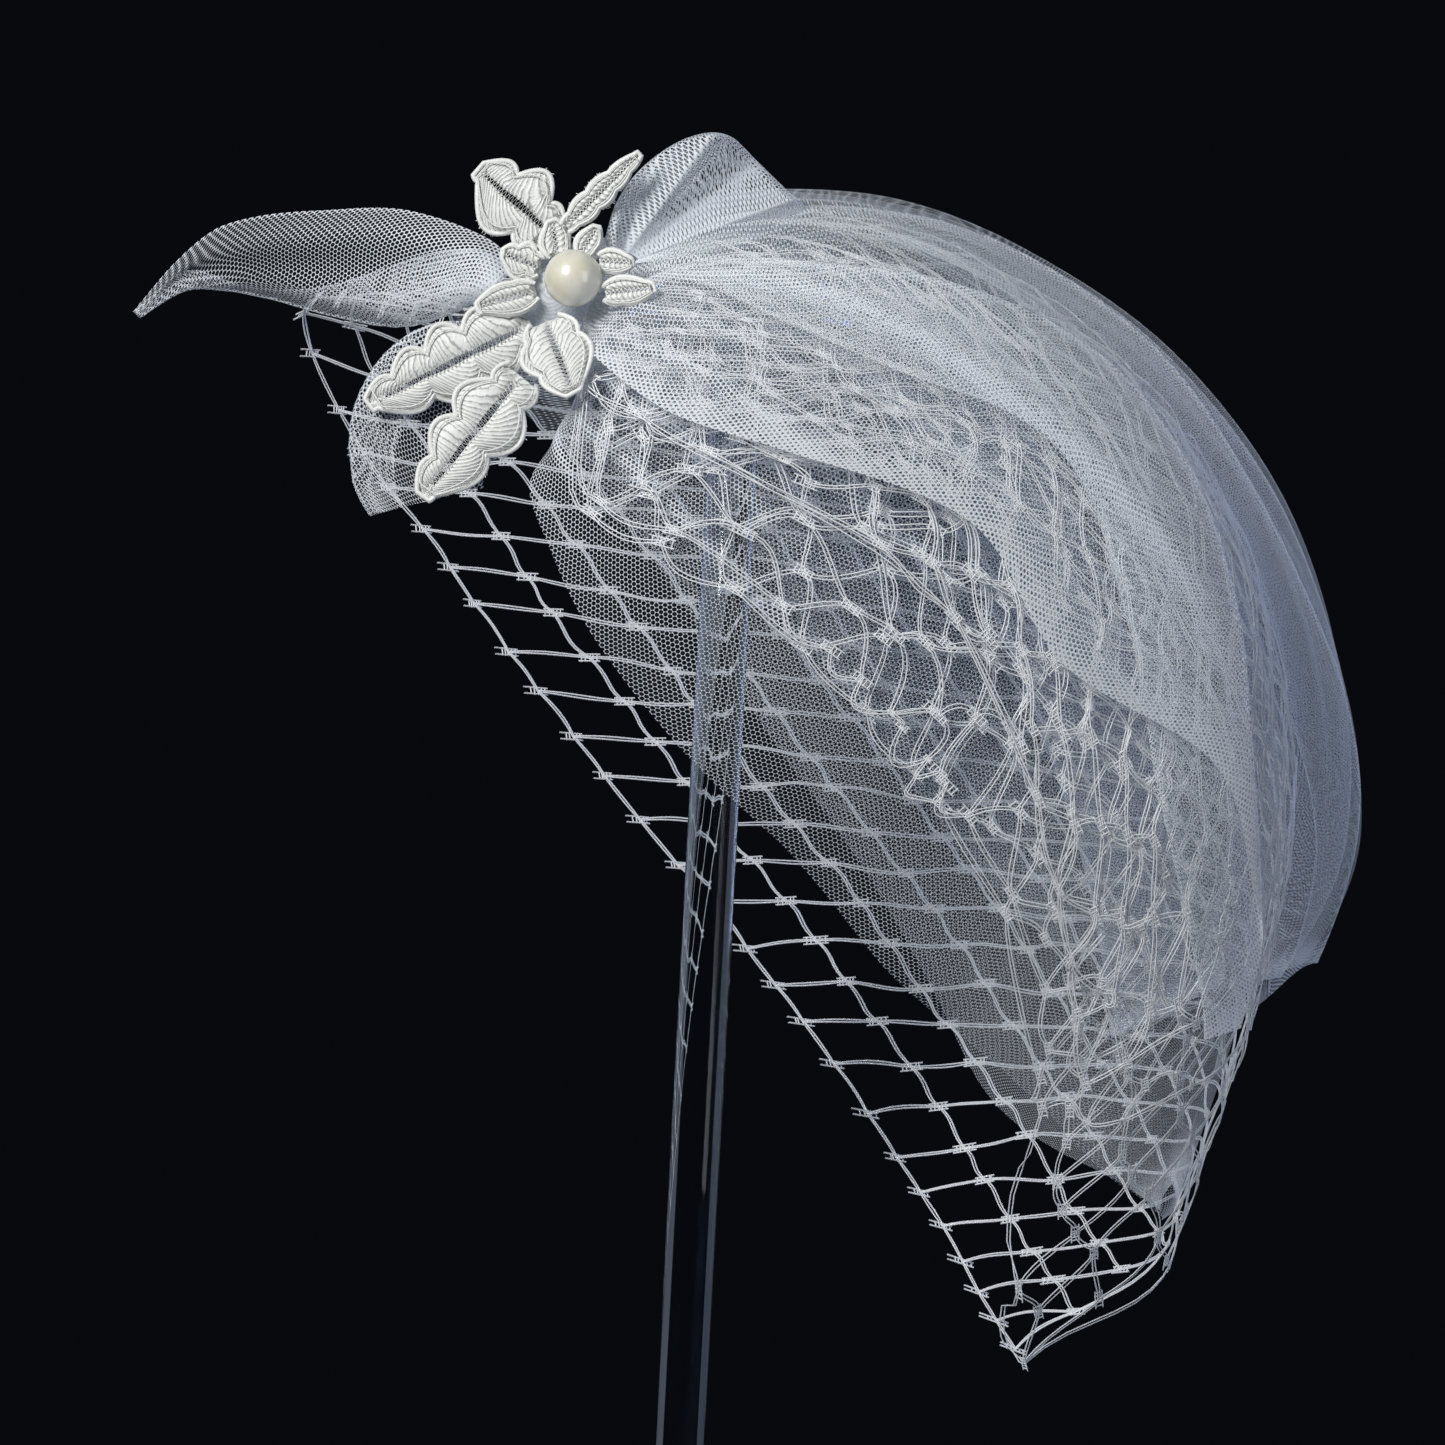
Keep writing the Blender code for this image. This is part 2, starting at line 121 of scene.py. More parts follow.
def tulle_material(name, colour, haze):
    """Knitted nylon net of hexagon holes, seen through where a hole is and hazy where it's gathered."""
    made, tree = new_material(name)
    place = add_node(tree, "ShaderNodeUVMap", uv_map="cloth")
    sway = add_node(tree, "ShaderNodeTexNoise", {"Scale": SWAY_SCALE, "Detail": 1.0}, {"Vector": place})
    pulled = add_node(
        tree, "ShaderNodeVectorMath", {1: (SWAY, SWAY, 0)}, {0: sway.outputs["Color"], 2: place},
        operation="MULTIPLY_ADD",
    )
    cells = add_node(
        tree, "ShaderNodeVectorMath", {1: (1 / HOLE_PITCH, 1 / (HOLE_PITCH * math.sqrt(3)), 0)}, {0: pulled},
        operation="MULTIPLY",
    )
    nearest = []
    for shift in (0.0, 0.5):
        moved = add_node(tree, "ShaderNodeVectorMath", {1: (shift, shift, 0)}, {0: cells}, operation="ADD")
        share = add_node(tree, "ShaderNodeVectorMath", {}, {0: moved}, operation="FRACTION")
        centred = add_node(
            tree, "ShaderNodeVectorMath", {1: (1, math.sqrt(3), 0), 2: (-0.5, -0.5 * math.sqrt(3), 0)},
            {0: share}, operation="MULTIPLY_ADD",
        )
        far = add_node(tree, "ShaderNodeVectorMath", {}, {0: centred}, operation="LENGTH")
        nearest.append(far.outputs["Value"])
    distance = add_node(tree, "ShaderNodeMath", {}, {0: nearest[0], 1: nearest[1]}, operation="MINIMUM")
    gathered = add_node(tree, "ShaderNodeAttribute", attribute_name="gathered")
    radius = add_node(
        tree, "ShaderNodeMapRange", {"To Min": HOLE_RADIUS, "To Max": HOLE_CLOSED},
        {"Value": gathered.outputs["Fac"]},
    )
    past = add_node(tree, "ShaderNodeMath", {}, {0: distance, 1: radius}, operation="SUBTRACT")
    cover = add_node(
        tree, "ShaderNodeMapRange",
        {"From Min": -HOLE_EDGE, "From Max": HOLE_EDGE, "To Min": haze, "To Max": 1.0}, {"Value": past},
    )
    shader = add_node(
        tree, "ShaderNodeBsdfPrincipled",
        {"Base Color": linear(colour), "Roughness": 0.55, "Sheen Weight": 0.5, "Sheen Roughness": 0.3,
         "Specular IOR Level": 0.35},
    )
    glow = add_node(tree, "ShaderNodeBsdfTranslucent", {"Color": linear(colour)})
    threads = add_node(tree, "ShaderNodeMixShader", {0: GLOW}, {1: shader, 2: glow})
    air = add_node(tree, "ShaderNodeBsdfTransparent")
    finish_with(tree, add_node(tree, "ShaderNodeMixShader", {}, {0: cover, 1: air, 2: threads}))
    return made


tulle = tulle_material("bridal tulle, knitted nylon", TULLE_WHITE, HAZE)
print("tulle holes every", round(HOLE_PITCH / MM, 2), "mm")

# %% [markdown]
# ## Net thread, lace, pearl and acrylic
#
# The net is stiff nylon cord with a slight gloss. The lace is viscose thread in satin stitch, which is
# warmer than the tulle and shines along its threads. The pearl is a coated bead: cream under a clear
# gloss. The stand is polished cast acrylic, with an index of refraction of 1.49.

# %% Thread, lace, pearl and acrylic materials
FIBRE_SCALE = 2600.0  # in bumps a metre, so one is about 0.4 mm long


def thread_material(name, colour, roughness, sheen):
    """Twisted fibre, with a fine unevenness along it in Object coordinates."""
    made, tree = new_material(name)
    place = add_node(tree, "ShaderNodeTexCoord")
    fibre = add_node(
        tree, "ShaderNodeTexNoise", {"Scale": FIBRE_SCALE, "Detail": 2.0}, {"Vector": place.outputs["Object"]}
    )
    shade = add_node(
        tree, "ShaderNodeMapRange", {"From Min": 0.3, "From Max": 0.7, "To Min": 0.82, "To Max": 1.0},
        {"Value": fibre.outputs["Fac"]},
    )
    tint = add_node(
        tree, "ShaderNodeVectorMath", {0: linear(colour)[:3]}, {"Scale": shade}, operation="SCALE"
    )
    relief = add_node(
        tree, "ShaderNodeBump", {"Strength": 0.5, "Distance": 0.05 * MM}, {"Height": fibre.outputs["Fac"]}
    )
    shader = add_node(
        tree, "ShaderNodeBsdfPrincipled", {"Roughness": roughness, "Sheen Weight": sheen},
        {"Base Color": tint, "Normal": relief},
    )
    finish_with(tree, shader)
    return made


STITCH_PITCH = 0.5 * MM  # the photo shows the stitches in bundles this far apart
STITCH_LEAN = 0.7  # how far a stitch leans towards the leaf's tip
BUNDLE_SWAY_SCALE = 420.0  # a bundle bends about every 2 mm
BUNDLE_FIBRE_SCALE = 1500.0  # and its threads part about every 0.7 mm


def satin_material(name, colour, shadow):
    """Padded satin stitch: bundles of thread that lean towards the tip, with painted shade in the dark uneven
    gaps between them.
    """
    made, tree = new_material(name)
    place = add_node(tree, "ShaderNodeUVMap", uv_map="cloth")
    sway = add_node(
        tree, "ShaderNodeTexNoise", {"Scale": BUNDLE_SWAY_SCALE, "Detail": 2.0}, {"Vector": place}
    )
    row = add_node(
        tree, "ShaderNodeVectorMath", {1: (-STITCH_LEAN / STITCH_PITCH, 1 / STITCH_PITCH, 0)}, {0: place},
        operation="DOT_PRODUCT",
    )
    bent = add_node(
        tree, "ShaderNodeMath", {1: 1.5}, {0: sway.outputs["Fac"], 2: row.outputs["Value"]},
        operation="MULTIPLY_ADD",
    )
    wave = add_node(tree, "ShaderNodeMath", {1: 1.0}, {0: bent}, operation="PINGPONG")
    fibre = add_node(
        tree, "ShaderNodeTexNoise", {"Scale": BUNDLE_FIBRE_SCALE, "Detail": 2.0}, {"Vector": place}
    )
    gap = add_node(
        tree, "ShaderNodeMath", {1: 0.9}, {0: fibre.outputs["Fac"], 2: wave}, operation="MULTIPLY_ADD"
    )
    # painted shade: the deeper a gap between bundles, the more its colour is mixed towards the grey shadow
    # colour
    depth = add_node(
        tree, "ShaderNodeMapRange", {"From Min": 1.08, "From Max": 1.36, "To Min": 0.0, "To Max": 0.7},
        {"Value": gap},
    )
    tint = add_node(
        tree, "ShaderNodeMix", {6: linear(colour), 7: linear(shadow)}, {0: depth}, data_type="RGBA"
    )
    height = add_node(tree, "ShaderNodeMath", {0: 1.0}, {1: gap}, operation="SUBTRACT")
    relief = add_node(tree, "ShaderNodeBump", {"Strength": 0.7, "Distance": 0.18 * MM}, {"Height": height})
    shader = add_node(
        tree, "ShaderNodeBsdfPrincipled", {"Roughness": 0.5, "Sheen Weight": 0.4},
        {"Base Color": tint.outputs[2], "Normal": relief},
    )
    finish_with(tree, shader)
    return made


def pearl_material(name):
    """A coated bead: cream, in soft random clouds of warmer and paler tone, with a clear gloss."""
    made, tree = new_material(name)
    place = add_node(tree, "ShaderNodeTexCoord")
    cloud = add_node(
        tree, "ShaderNodeTexNoise", {"Scale": 260.0, "Detail": 2.0}, {"Vector": place.outputs["Object"]}
    )
    layers = add_node(tree, "ShaderNodeValToRGB", {}, {"Fac": cloud.outputs["Fac"]})
    layers.color_ramp.elements[0].position = 0.3
    layers.color_ramp.elements[0].color = linear("#e4e1c8")
    layers.color_ramp.elements[1].position = 0.75
    layers.color_ramp.elements[1].color = linear("#faf8ee")
    shader = add_node(
        tree, "ShaderNodeBsdfPrincipled",
        {"Roughness": 0.3, "Specular IOR Level": 0.8, "Subsurface Weight": 0.15,
         "Subsurface Scale": 1.5 * MM, "Coat Weight": 1.0, "Coat Roughness": 0.05, "Coat IOR": 1.7},
        {"Base Color": layers},
    )
    finish_with(tree, shader)
    return made


def acrylic_material(name, straight):
    """Clear cast acrylic, polished, with the faintest ripple. Straight is the share of light that isn't
    bent: a rod bends nearly all of it, and a flat plate lets most of it straight through."""
    made, tree = new_material(name)
    place = add_node(tree, "ShaderNodeTexCoord")
    ripple = add_node(
        tree, "ShaderNodeTexNoise", {"Scale": 60.0, "Detail": 1.0}, {"Vector": place.outputs["Object"]}
    )
    relief = add_node(
        tree, "ShaderNodeBump", {"Strength": 0.08, "Distance": 0.2 * MM}, {"Height": ripple.outputs["Fac"]}
    )
    shader = add_node(
        tree, "ShaderNodeBsdfPrincipled",
        {"Base Color": linear("#eef4fb"), "Roughness": 0.03, "IOR": 1.49, "Transmission Weight": 1.0},
        {"Normal": relief},
    )
    air = add_node(tree, "ShaderNodeBsdfTransparent")
    finish_with(tree, add_node(tree, "ShaderNodeMixShader", {0: straight}, {1: shader, 2: air}))
    return made


net_thread = thread_material("veiling thread, nylon", "#fbfdff", 0.36, 0.2)
# the second colour is the painted shade in the gaps between the stitches, not a colour of the thread
satin_stitch = satin_material("lace satin stitch, viscose", "#f1f2ee", "#85888a")
lace_cord_finish = thread_material("lace edge cord, viscose", "#f7f8f4", 0.42, 0.4)
pearl_finish = pearl_material("pearl bead, coated")
acrylic = acrylic_material("display acrylic, polished", 0.0)
acrylic_plate = acrylic_material("display acrylic, flat plate", 0.85)
print("materials:", len(bpy.data.materials))

# %% [markdown]
# ## The form of the hood
#
# All the cloth of the hood is gathered at one point, the throat, and fans out from there. The form is a
# table of thirteen sections. Each has a near hem, a crest and a far hem, and the cloth goes from hem to
# crest along a quarter of an oval, with a bulge sideways. The numbers are the part's own, in
# millimetres, so what is made on this form lies where the part's solid does.

# %% Section table
SECTIONS = (  # near hem x y z, crest x y z, far hem x y z, near bulge, far bulge, sag
    (-26.5, -56, 295.5, -17.5, -48, 315.5, -33, -41, 302, 0, 0, 0),
    (-30, -61, 283, -8, -38, 317, -58, 2, 306, 3, 2, 0),
    (-35, -64, 273, 6, -22, 321, -86, 42, 309, 7, 6, 0),
    (-31, -67, 262, 27, -8, 322, -75, 60, 284, 11, 10, 0),
    (-22, -70, 246, 48, 0, 316, -61, 66, 268, 13, 12, 0),
    (-4, -70, 226, 72, 0, 300, -45, 70, 247, 14, 12, 0),
    (14, -66, 210, 91, 0, 276, -20, 73, 218, 14, 12, 0),
    (31, -58, 192, 102, 0, 248, 6, 71, 190, 14, 11, 0),
    (46, -48, 180, 106, 0, 221, 25, 65, 168, 13, 9, 0),
    (60, -38, 166, 103, 0, 196, 41, 55, 147, 10, 6, 1),
    (60, -30, 149, 99, 0, 178, 50, 44, 135, 6, 3, 3),
    (60, -20, 132, 94, 0, 161, 56, 31, 125, 3, 1, 5),
    (62, -10, 118, 89, 0, 147, 62, 14, 117, 0, 0, 7),
)
SAG_WAY = (0.6, 0.0, -0.8)  # the far tip droops outwards and down
print("sections:", len(SECTIONS))

# %% Reading a table smoothly
def along(rows, place):
    """A table's rows at places between them, on a smooth curve through all of them."""
    table = np.asarray(rows, float)
    last = len(table) - 1
    place = np.clip(np.asarray(place, float), 0, last)
    i = np.minimum(place.astype(int), last - 1)
    t = (place - i)[..., None]
    before, start = table[np.maximum(i - 1, 0)], table[i]
    end, after = table[i + 1], table[np.minimum(i + 2, last)]
    return start + 0.5 * t * (
        (end - before)
        + t * (2 * before - 5 * start + 4 * end - after)
        + t * t * (3 * start - before - 3 * end + after)
    )


def ease(t):
    """0 before 0, 1 after 1, and a smooth rise between."""
    t = np.clip(t, 0, 1)
    return t * t * (3 - 2 * t)


def bump(place, centre, width):
    """A soft ridge, 1 at its centre and gone two widths away."""
    return np.exp(-(((place - centre) / width) ** 2))


def unit(vectors):
    """The same directions at length 1."""
    return vectors / np.maximum(np.linalg.norm(vectors, axis=-1, keepdims=True), 1e-9)


print("crest halfway along:", along(SECTIONS, 6.0)[3:6])

# %% The hood's smooth form
def hood_point(section, angle):
    """Points of the form: angle is 0 at the near hem, 90 at the crest and 180 at the far hem."""
    row = along(SECTIONS, section)
    near = (angle <= 90)[..., None]
    turn = np.radians(np.where(angle <= 90, angle, 180 - angle))[..., None]
    crest = row[..., 3:6]
    hem = np.where(near, row[..., 0:3], row[..., 6:9])
    foot = np.stack([hem[..., 0], crest[..., 1], hem[..., 2]], -1)
    bulge = np.where(near[..., 0], -row[..., 9], row[..., 10]) * np.sin(2 * turn[..., 0])
    swell = np.stack([0 * bulge, bulge, 0 * bulge], -1)
    sag = np.array(SAG_WAY) * row[..., 11:12] * np.sin(2 * turn) ** 2
    return foot + (hem - foot) * np.cos(turn) + swell + sag + (crest - foot) * np.sin(turn)


FEEL_SECTION = 0.15  # how far to each side the form is felt for its slope, in sections
FEEL_ANGLE = 1.5  # and in degrees


def hood_normal(section, angle):
    """The way out of the hood, square to its form."""
    low = np.maximum(section - FEEL_SECTION, 0)
    high = np.minimum(section + FEEL_SECTION, len(SECTIONS) - 1)
    start = np.maximum(angle - FEEL_ANGLE, 0)
    end = np.minimum(angle + FEEL_ANGLE, 180)
    run = hood_point(high, angle) - hood_point(low, angle)
    round_it = hood_point(section, end) - hood_point(section, start)
    return unit(np.cross(run, round_it))


print("crest point:", hood_point(np.array(6.0), np.array(90.0)).round(1))

# %% [markdown]
# ## Gathers and puffs
#
# Cloth that is sewn into a small knot stands up in folds which fade as they run out. Each row below is
# one such fold: where it lies round the hood, how wide and how high it is, and how many
# sections it lasts. The outer layer also puffs out in four lobes.

# %% Fold tables
GATHERS = (  # angle, width, height, end
    (14, 8, 1.8, 5.5), (32, 8, 2.2, 7.0), (50, 8, 2.4, 8.0), (67, 8, 2.2, 7.5), (84, 8, 2.6, 9.0),
    (101, 8, 2.4, 8.0), (118, 8, 2.2, 7.0), (136, 8, 2.0, 6.0), (154, 8, 1.6, 5.5),
)
GATHER_START = 0.35  # how much of a gather there is at the throat
GATHER_RISE = 3.0  # in how many sections the rest would rise
GATHER_END = 1.2  # over 1, so that a gather fades out only near its end
PUFFS = (  # angle, width, height, start, full, end
    (50, 12, 8.0, 1.5, 5.5, 8.6), (80, 11, 5.0, 3.5, 7.0, 9.6),
    (106, 15, 16.0, 3.5, 8.0, 9.9), (134, 12, 5.0, 3.0, 6.5, 9.4),
)


def gathers(section, angle):
    """How far the gathers lift the cloth."""
    total = np.zeros_like(section)
    for centre, width, height, end in GATHERS:
        rise = ease(GATHER_START + section / GATHER_RISE)
        fall = ease(GATHER_END - section / end)
        total = total + height * rise * fall * bump(angle, centre, width)
    return total


def puffs(section, angle):
    """How far the outer tulle puffs out."""
    total = np.zeros_like(section)
    for centre, width, height, start, full, end in PUFFS:
        rise = ease((section - start) / (full - start))
        fall = ease((end - section) / (end - full))
        total = total + height * rise * fall * bump(angle, centre, width)
    return total


print("gathers:", len(GATHERS), "puffs:", len(PUFFS))

# %% [markdown]
# ## Layers
#
# A layer is the form moved out a little, cut along its own hems. A hem is written as how far up from the
# form's own edge the cloth is cut, as the sine of the angle there.

# %% Hem tables and layers
TULLE_HEMS = (
    (0, 0.30), (0, 0.30), (0, 0.30), (0, 0.30), (0, 0.30), (0, 0.28), (0, 0.26), (0, 0.26), (0, 0.26),
    (0.03, 0.28), (0.30, 0.42), (0.66, 0.70), (0.97, 0.97),
)
NET_HEMS = (
    (0.26, 0), (0.28, 0), (0.27, 0), (0.12, 0), (0.22, 0), (0.26, 0), (0.26, 0), (0.26, 0), (0.20, 0),
    (0.04, 0), (0, 0), (0, 0), (0, 0),
)
FOLD_HEMS = (
    (0.30, 0.94), (0.31, 0.92), (0.32, 0.90), (0.33, 0.88), (0.40, 0.86), (0.46, 0.84), (0.44, 0.80),
    (0.38, 0.82), (0.30, 0.86), (0.20, 0.88), (0.26, 0.82), (0.45, 0.70),
)
OUTER_HEMS = (
    (0.34, 0.45), (0.35, 0.45), (0.36, 0.45), (0.36, 0.45), (0.45, 0.44), (0.56, 0.42), (0.54, 0.40),
    (0.68, 0.42), (0.71, 0.50), (0.78, 0.70),
)
LAYERS = {  # hems, last section, lift at the throat, lift in the open
    "veil_tulle": (TULLE_HEMS, 11.6, 0.0, 0.0),
    "birdcage_net": (NET_HEMS, 12.0, 1.4, 2.2),
    "net_fold": (FOLD_HEMS, 11.0, 2.8, 4.4),
    "outer_tulle": (OUTER_HEMS, 9.0, 4.2, 6.6),
}
THROAT_SECTIONS = 2.0  # a layer reaches its full lift this far from the throat


def hem_angles(name, section):
    """The angles of a layer's two hems. Only the net's loose fold ends on the near side."""
    ends = np.degrees(np.arcsin(np.clip(along(LAYERS[name][0], section), 0, 1)))
    return ends[..., 0], ends[..., 1] if name == "net_fold" else 180 - ends[..., 1]


def layer_place(name, share, across):
    """The section and angle of places on a layer: share runs from the throat, across from hem to hem."""
    section = np.clip(share, 0, 1) * LAYERS[name][1]
    start, end = hem_angles(name, section)
    return section, start + (end - start) * across


def layer_lift(name, section, angle):
    """How far a layer stands off the form, with its gathers and puffs."""
    seat, open_air = LAYERS[name][2:]
    lift = seat + (open_air - seat) * ease(section / THROAT_SECTIONS) + gathers(section, angle)
    return lift + puffs(section, angle) if name == "outer_tulle" else lift


def layer_point(name, share, across, off=0.0):
    """Points of a layer, off millimetres further out."""
    section, angle = layer_place(name, share, across)
    lift = layer_lift(name, section, angle) + off
    return hood_point(section, angle) + hood_normal(section, angle) * lift[..., None]


print("layers:", ", ".join(LAYERS))

# %% [markdown]
# ## A cloth from a grid
#
# Every cloth starts as a flat grid, which bmesh makes in one call. A shape function then says where each
# point of the grid goes. The distances walked along the finished cloth become its UV map, in metres, so
# the tulle's holes are the same size everywhere, as they are on real cloth.

# %% Cloth builder
def finished_piece(name, mesh, material, node=None):
    """A piece at the origin that rides on the stand, and takes its solid's place if it has one."""
    mesh.materials.clear()
    mesh.materials.append(material)
    made = bpy.data.objects.new(name, mesh)
    bpy.context.collection.objects.link(made)
    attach(made, "root")
    if node:
        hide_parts(node)
    return made


def cloth(name, node, cells, place, gathered=None, material=tulle, slit=0.0):
    """A single sheet from a flat grid: place(share, across) gives millimetres for arrays of shares, and
    gathered how tightly it lies there. Slit is the share of its length over which its middle column is
    left open."""
    long_cells, cross_cells = cells
    bm = bmesh.new()
    bmesh.ops.create_grid(bm, x_segments=long_cells, y_segments=cross_cells, size=0.5)
    if slit:
        middles = [(face, face.calc_center_median()) for face in bm.faces]
        inside = [face for face, at in middles if abs(at.y) < 0.4 / cross_cells and abs(at.x) < slit / 2]
        bmesh.ops.delete(bm, geom=inside, context="FACES_ONLY")
    mesh = bpy.data.meshes.new(name)
    bm.to_mesh(mesh)
    bm.free()
    flat = np.empty(len(mesh.vertices) * 3)
    mesh.vertices.foreach_get("co", flat)
    i = np.rint((flat[0::3] + 0.5) * long_cells).astype(int)
    j = np.rint((flat[1::3] + 0.5) * cross_cells).astype(int)
    share, across = np.meshgrid(
        np.linspace(0, 1, long_cells + 1), np.linspace(0, 1, cross_cells + 1), indexing="ij"
    )
    points = place(share, across)
    mesh.vertices.foreach_set("co", (points[i, j] * MM).ravel())
    walked_cross = np.zeros(share.shape)
    walked_cross[:, 1:] = np.cumsum(np.linalg.norm(np.diff(points, axis=1), axis=-1), axis=1)
    walked_long = np.zeros(share.shape)
    walked_long[1:] = np.cumsum(np.linalg.norm(np.diff(points, axis=0), axis=-1), axis=0)
    corners = np.empty(len(mesh.loops), int)
    mesh.loops.foreach_get("vertex_index", corners)
    layer = mesh.uv_layers.new(name="cloth")
    uv = np.stack([walked_cross[i, j], walked_long[i, j]], -1)[corners] * MM
    layer.uv.foreach_set("vector", uv.ravel())
    if gathered is not None:
        tight = mesh.attributes.new("gathered", "FLOAT", "POINT")
        tight.data.foreach_set("value", gathered(share, across)[i, j].ravel())
    mesh.shade_smooth()
    area = sum(face.area for face in mesh.polygons)
    print(name, "faces", len(mesh.polygons), "area", round(area * 1e4), "cm2")
    return finished_piece(name, mesh, material, node)


print("cloth builder ready")

# %% [markdown]
# ## Fine folds
#
# Between the big gathers the real tulle has many small ones. They are uneven: no two have the same
# width, height or length. Each row is one fold again, and its centre drifts as it runs out.

# %% Fine fold tables
FINE_INNER = (  # angle at the throat, drift in degrees a section, width, height, first and last section
    (6, 0.5, 2.2, 1.1, 0.2, 4.0), (11, 0.9, 1.8, 0.8, 0.5, 6.5), (19, 0.6, 2.0, 1.0, 0.2, 5.0),
    (24, 1.2, 1.6, 0.7, 1.0, 7.5), (29, 0.3, 2.4, 1.0, 0.3, 3.8), (38, 0.8, 1.7, 0.9, 0.4, 6.0),
    (43, -0.4, 2.1, 0.8, 0.6, 8.0), (56, 0.7, 1.9, 1.1, 0.2, 4.6), (61, -0.6, 1.6, 0.7, 1.2, 7.0),
    (73, 0.4, 2.3, 1.0, 0.3, 5.6), (78, -0.5, 1.7, 0.8, 0.8, 9.0), (91, 0.2, 2.0, 0.9, 0.2, 6.2),
    (96, -0.8, 1.8, 0.7, 0.9, 5.0), (108, 0.5, 2.2, 1.0, 0.4, 7.2), (113, -0.3, 1.7, 0.8, 1.4, 6.4),
    (125, 0.4, 2.1, 0.9, 0.3, 5.2), (130, -0.7, 1.8, 0.7, 0.7, 8.2), (143, 0.5, 2.0, 0.8, 0.2, 4.4),
    (149, -0.5, 1.7, 0.7, 1.0, 6.0), (158, 0.3, 2.1, 0.8, 0.4, 4.8),
)


FOLD_OPENS, FOLD_FADES = 0.8, 2.0  # the sections in which a fold rises and dies away
CREASE_WIDTH = 0.7  # degrees, how narrow the crease on a fold is


def fold_ridges(table, section, angle, width=None):
    """Each fold of a table as a ridge, as wide as its row says or as asked."""
    for centre, drift, own_width, height, first, last in table:
        reach = ease((section - first) / FOLD_OPENS) * ease((last - section) / FOLD_FADES)
        yield height * reach * bump(angle, centre + drift * section, width or own_width)


def fine_folds(table, section, angle):
    """How far a table of fine folds lifts the cloth."""
    return sum(fold_ridges(table, section, angle))


def doubled(table, section, angle):
    """Where the cloth lies double along the creases of a table of folds, from 0 to 1."""
    return np.max(list(fold_ridges(table, section, angle, CREASE_WIDTH)), axis=0)


print("fine folds:", len(FINE_INNER))

# %% Inner tulle
def inner_tulle_place(share, across):
    """The inner hood with its fine folds and a hem that lifts and dips a little."""
    section, angle = layer_place("veil_tulle", share, across)
    wave = 0.5 * np.sin(0.9 * section + 0.23 * angle) * ease((section - 2) / 3)
    edge = 1.0 * np.sin(2.3 * section) * bump(across, 0, 0.05) * ease((section - 3) / 2)
    off = fine_folds(FINE_INNER, section, angle) * 0.7 - 0.5 + wave - edge
    return layer_point("veil_tulle", share, across, off)


def throat_gather(share, across):
    """Tightly gathered at the throat, open two or three sections out, and folded over at the far tip."""
    section, angle = layer_place("veil_tulle", share, across)
    crease = 0.45 * doubled(FINE_INNER, section, angle)
    return np.clip(0.9 * np.exp(-share * 11) + 0.5 * ease((share - 0.92) / 0.08) + crease, 0, 1)


veil_tulle = cloth("veil_tulle_cloth", "veil_tulle", (170, 200), inner_tulle_place, throat_gather)

# %% [markdown]
# ## Outer tulle
#
# The outer layer is a wide strip folded over on itself, which stands off the hood in four lobes. The
# valleys between the lobes are narrower than the lobes, so each lobe shows its own bright rim.

# %% Outer tulle
FINE_OUTER = (
    (24, 1.0, 2.2, 1.2, 0.3, 6.0), (31, 0.6, 2.0, 1.0, 0.2, 5.0), (37, 1.6, 2.4, 1.3, 0.6, 7.4),
    (44, 0.4, 1.8, 0.9, 0.3, 4.2), (52, 1.2, 2.2, 1.2, 0.8, 8.0), (60, -0.3, 1.9, 1.0, 0.2, 5.4),
    (66, 0.9, 2.3, 1.4, 0.5, 8.6), (74, -0.4, 1.8, 0.9, 0.4, 6.6), (81, 0.7, 2.2, 1.2, 0.3, 7.6),
    (89, 0.2, 2.0, 1.1, 0.7, 8.8), (97, 0.6, 2.3, 1.3, 0.2, 6.2), (105, -0.5, 1.8, 1.0, 0.6, 8.2),
    (114, 0.3, 2.1, 1.2, 0.3, 5.8), (121, -0.4, 2.0, 1.0, 0.9, 7.8), (130, 0.5, 2.2, 1.1, 0.4, 6.4),
    (139, -0.2, 1.9, 0.9, 0.3, 5.2),
)
PLEATS = (  # whether it lies under, the angle of its edge at sections 0 to 9, and how far it turns back
    (False, (36, 39, 43, 45, 50, 55, 51, 47, 46, 47), 10.0),
    (False, (54, 57, 60, 63, 67, 69, 68, 72, 80, 86), 9.0),
    (True, (82, 86, 90, 94, 97, 100, 103, 106, 110, 114), 12.0),
    (True, (110, 113, 116, 119, 122, 125, 128, 130, 131, 132), 11.0),
)
PLEAT_START, PLEAT_FULL = 0.5, 4.5  # the sections between which a pleat opens from nothing
PLEAT_RISE = 3.4  # mm, how far its folded edge stands off
PLEAT_SINK = 1.0  # and how far the cloth beside it lies in
PLEAT_FADE = 12.0  # degrees in which both go back to nothing


def pleated(section, across, start, end):
    """The angle where a pleated sheet lies, how much the pleats lift it, and how near a fold edge it is."""
    opened = ease((section - PLEAT_START) / (PLEAT_FULL - PLEAT_START))
    widths = [width * opened for _, _, width in PLEATS]
    walk = across * (end - start + 2 * sum(widths))
    angle, lift, edge, before = start + walk, 0.0 * walk, 0.0 * walk, 0.0
    for (under, edges, _), width in zip(PLEATS, widths):
        turn = along(np.array(edges, float)[:, None], section)[..., 0] + (width if under else 0.0)
        past = walk - (turn - start + before)
        back = ease(past / np.maximum(width, 1e-6))
        angle = angle - 2 * width * back
        high = np.exp(-np.maximum(-past, 0) / PLEAT_FADE)
        low = np.exp(-np.maximum(past - width, 0) / PLEAT_FADE)
        if under:
            high, low = low, high
            back = 1 - back
        side = past > width if under else past < 0
        turning = PLEAT_RISE - (PLEAT_RISE + PLEAT_SINK) * back
        beside = np.where(side, PLEAT_RISE * high, -PLEAT_SINK * low)
        lift = lift + opened * np.where((past >= 0) & (past <= width), turning, beside)
        crease = np.maximum(bump(past, 0.09 * width, 0.8), bump(past, 0.91 * width, 0.6))
        edge = np.maximum(edge, opened * crease)
        before = before + 2 * width
    return angle, lift, edge


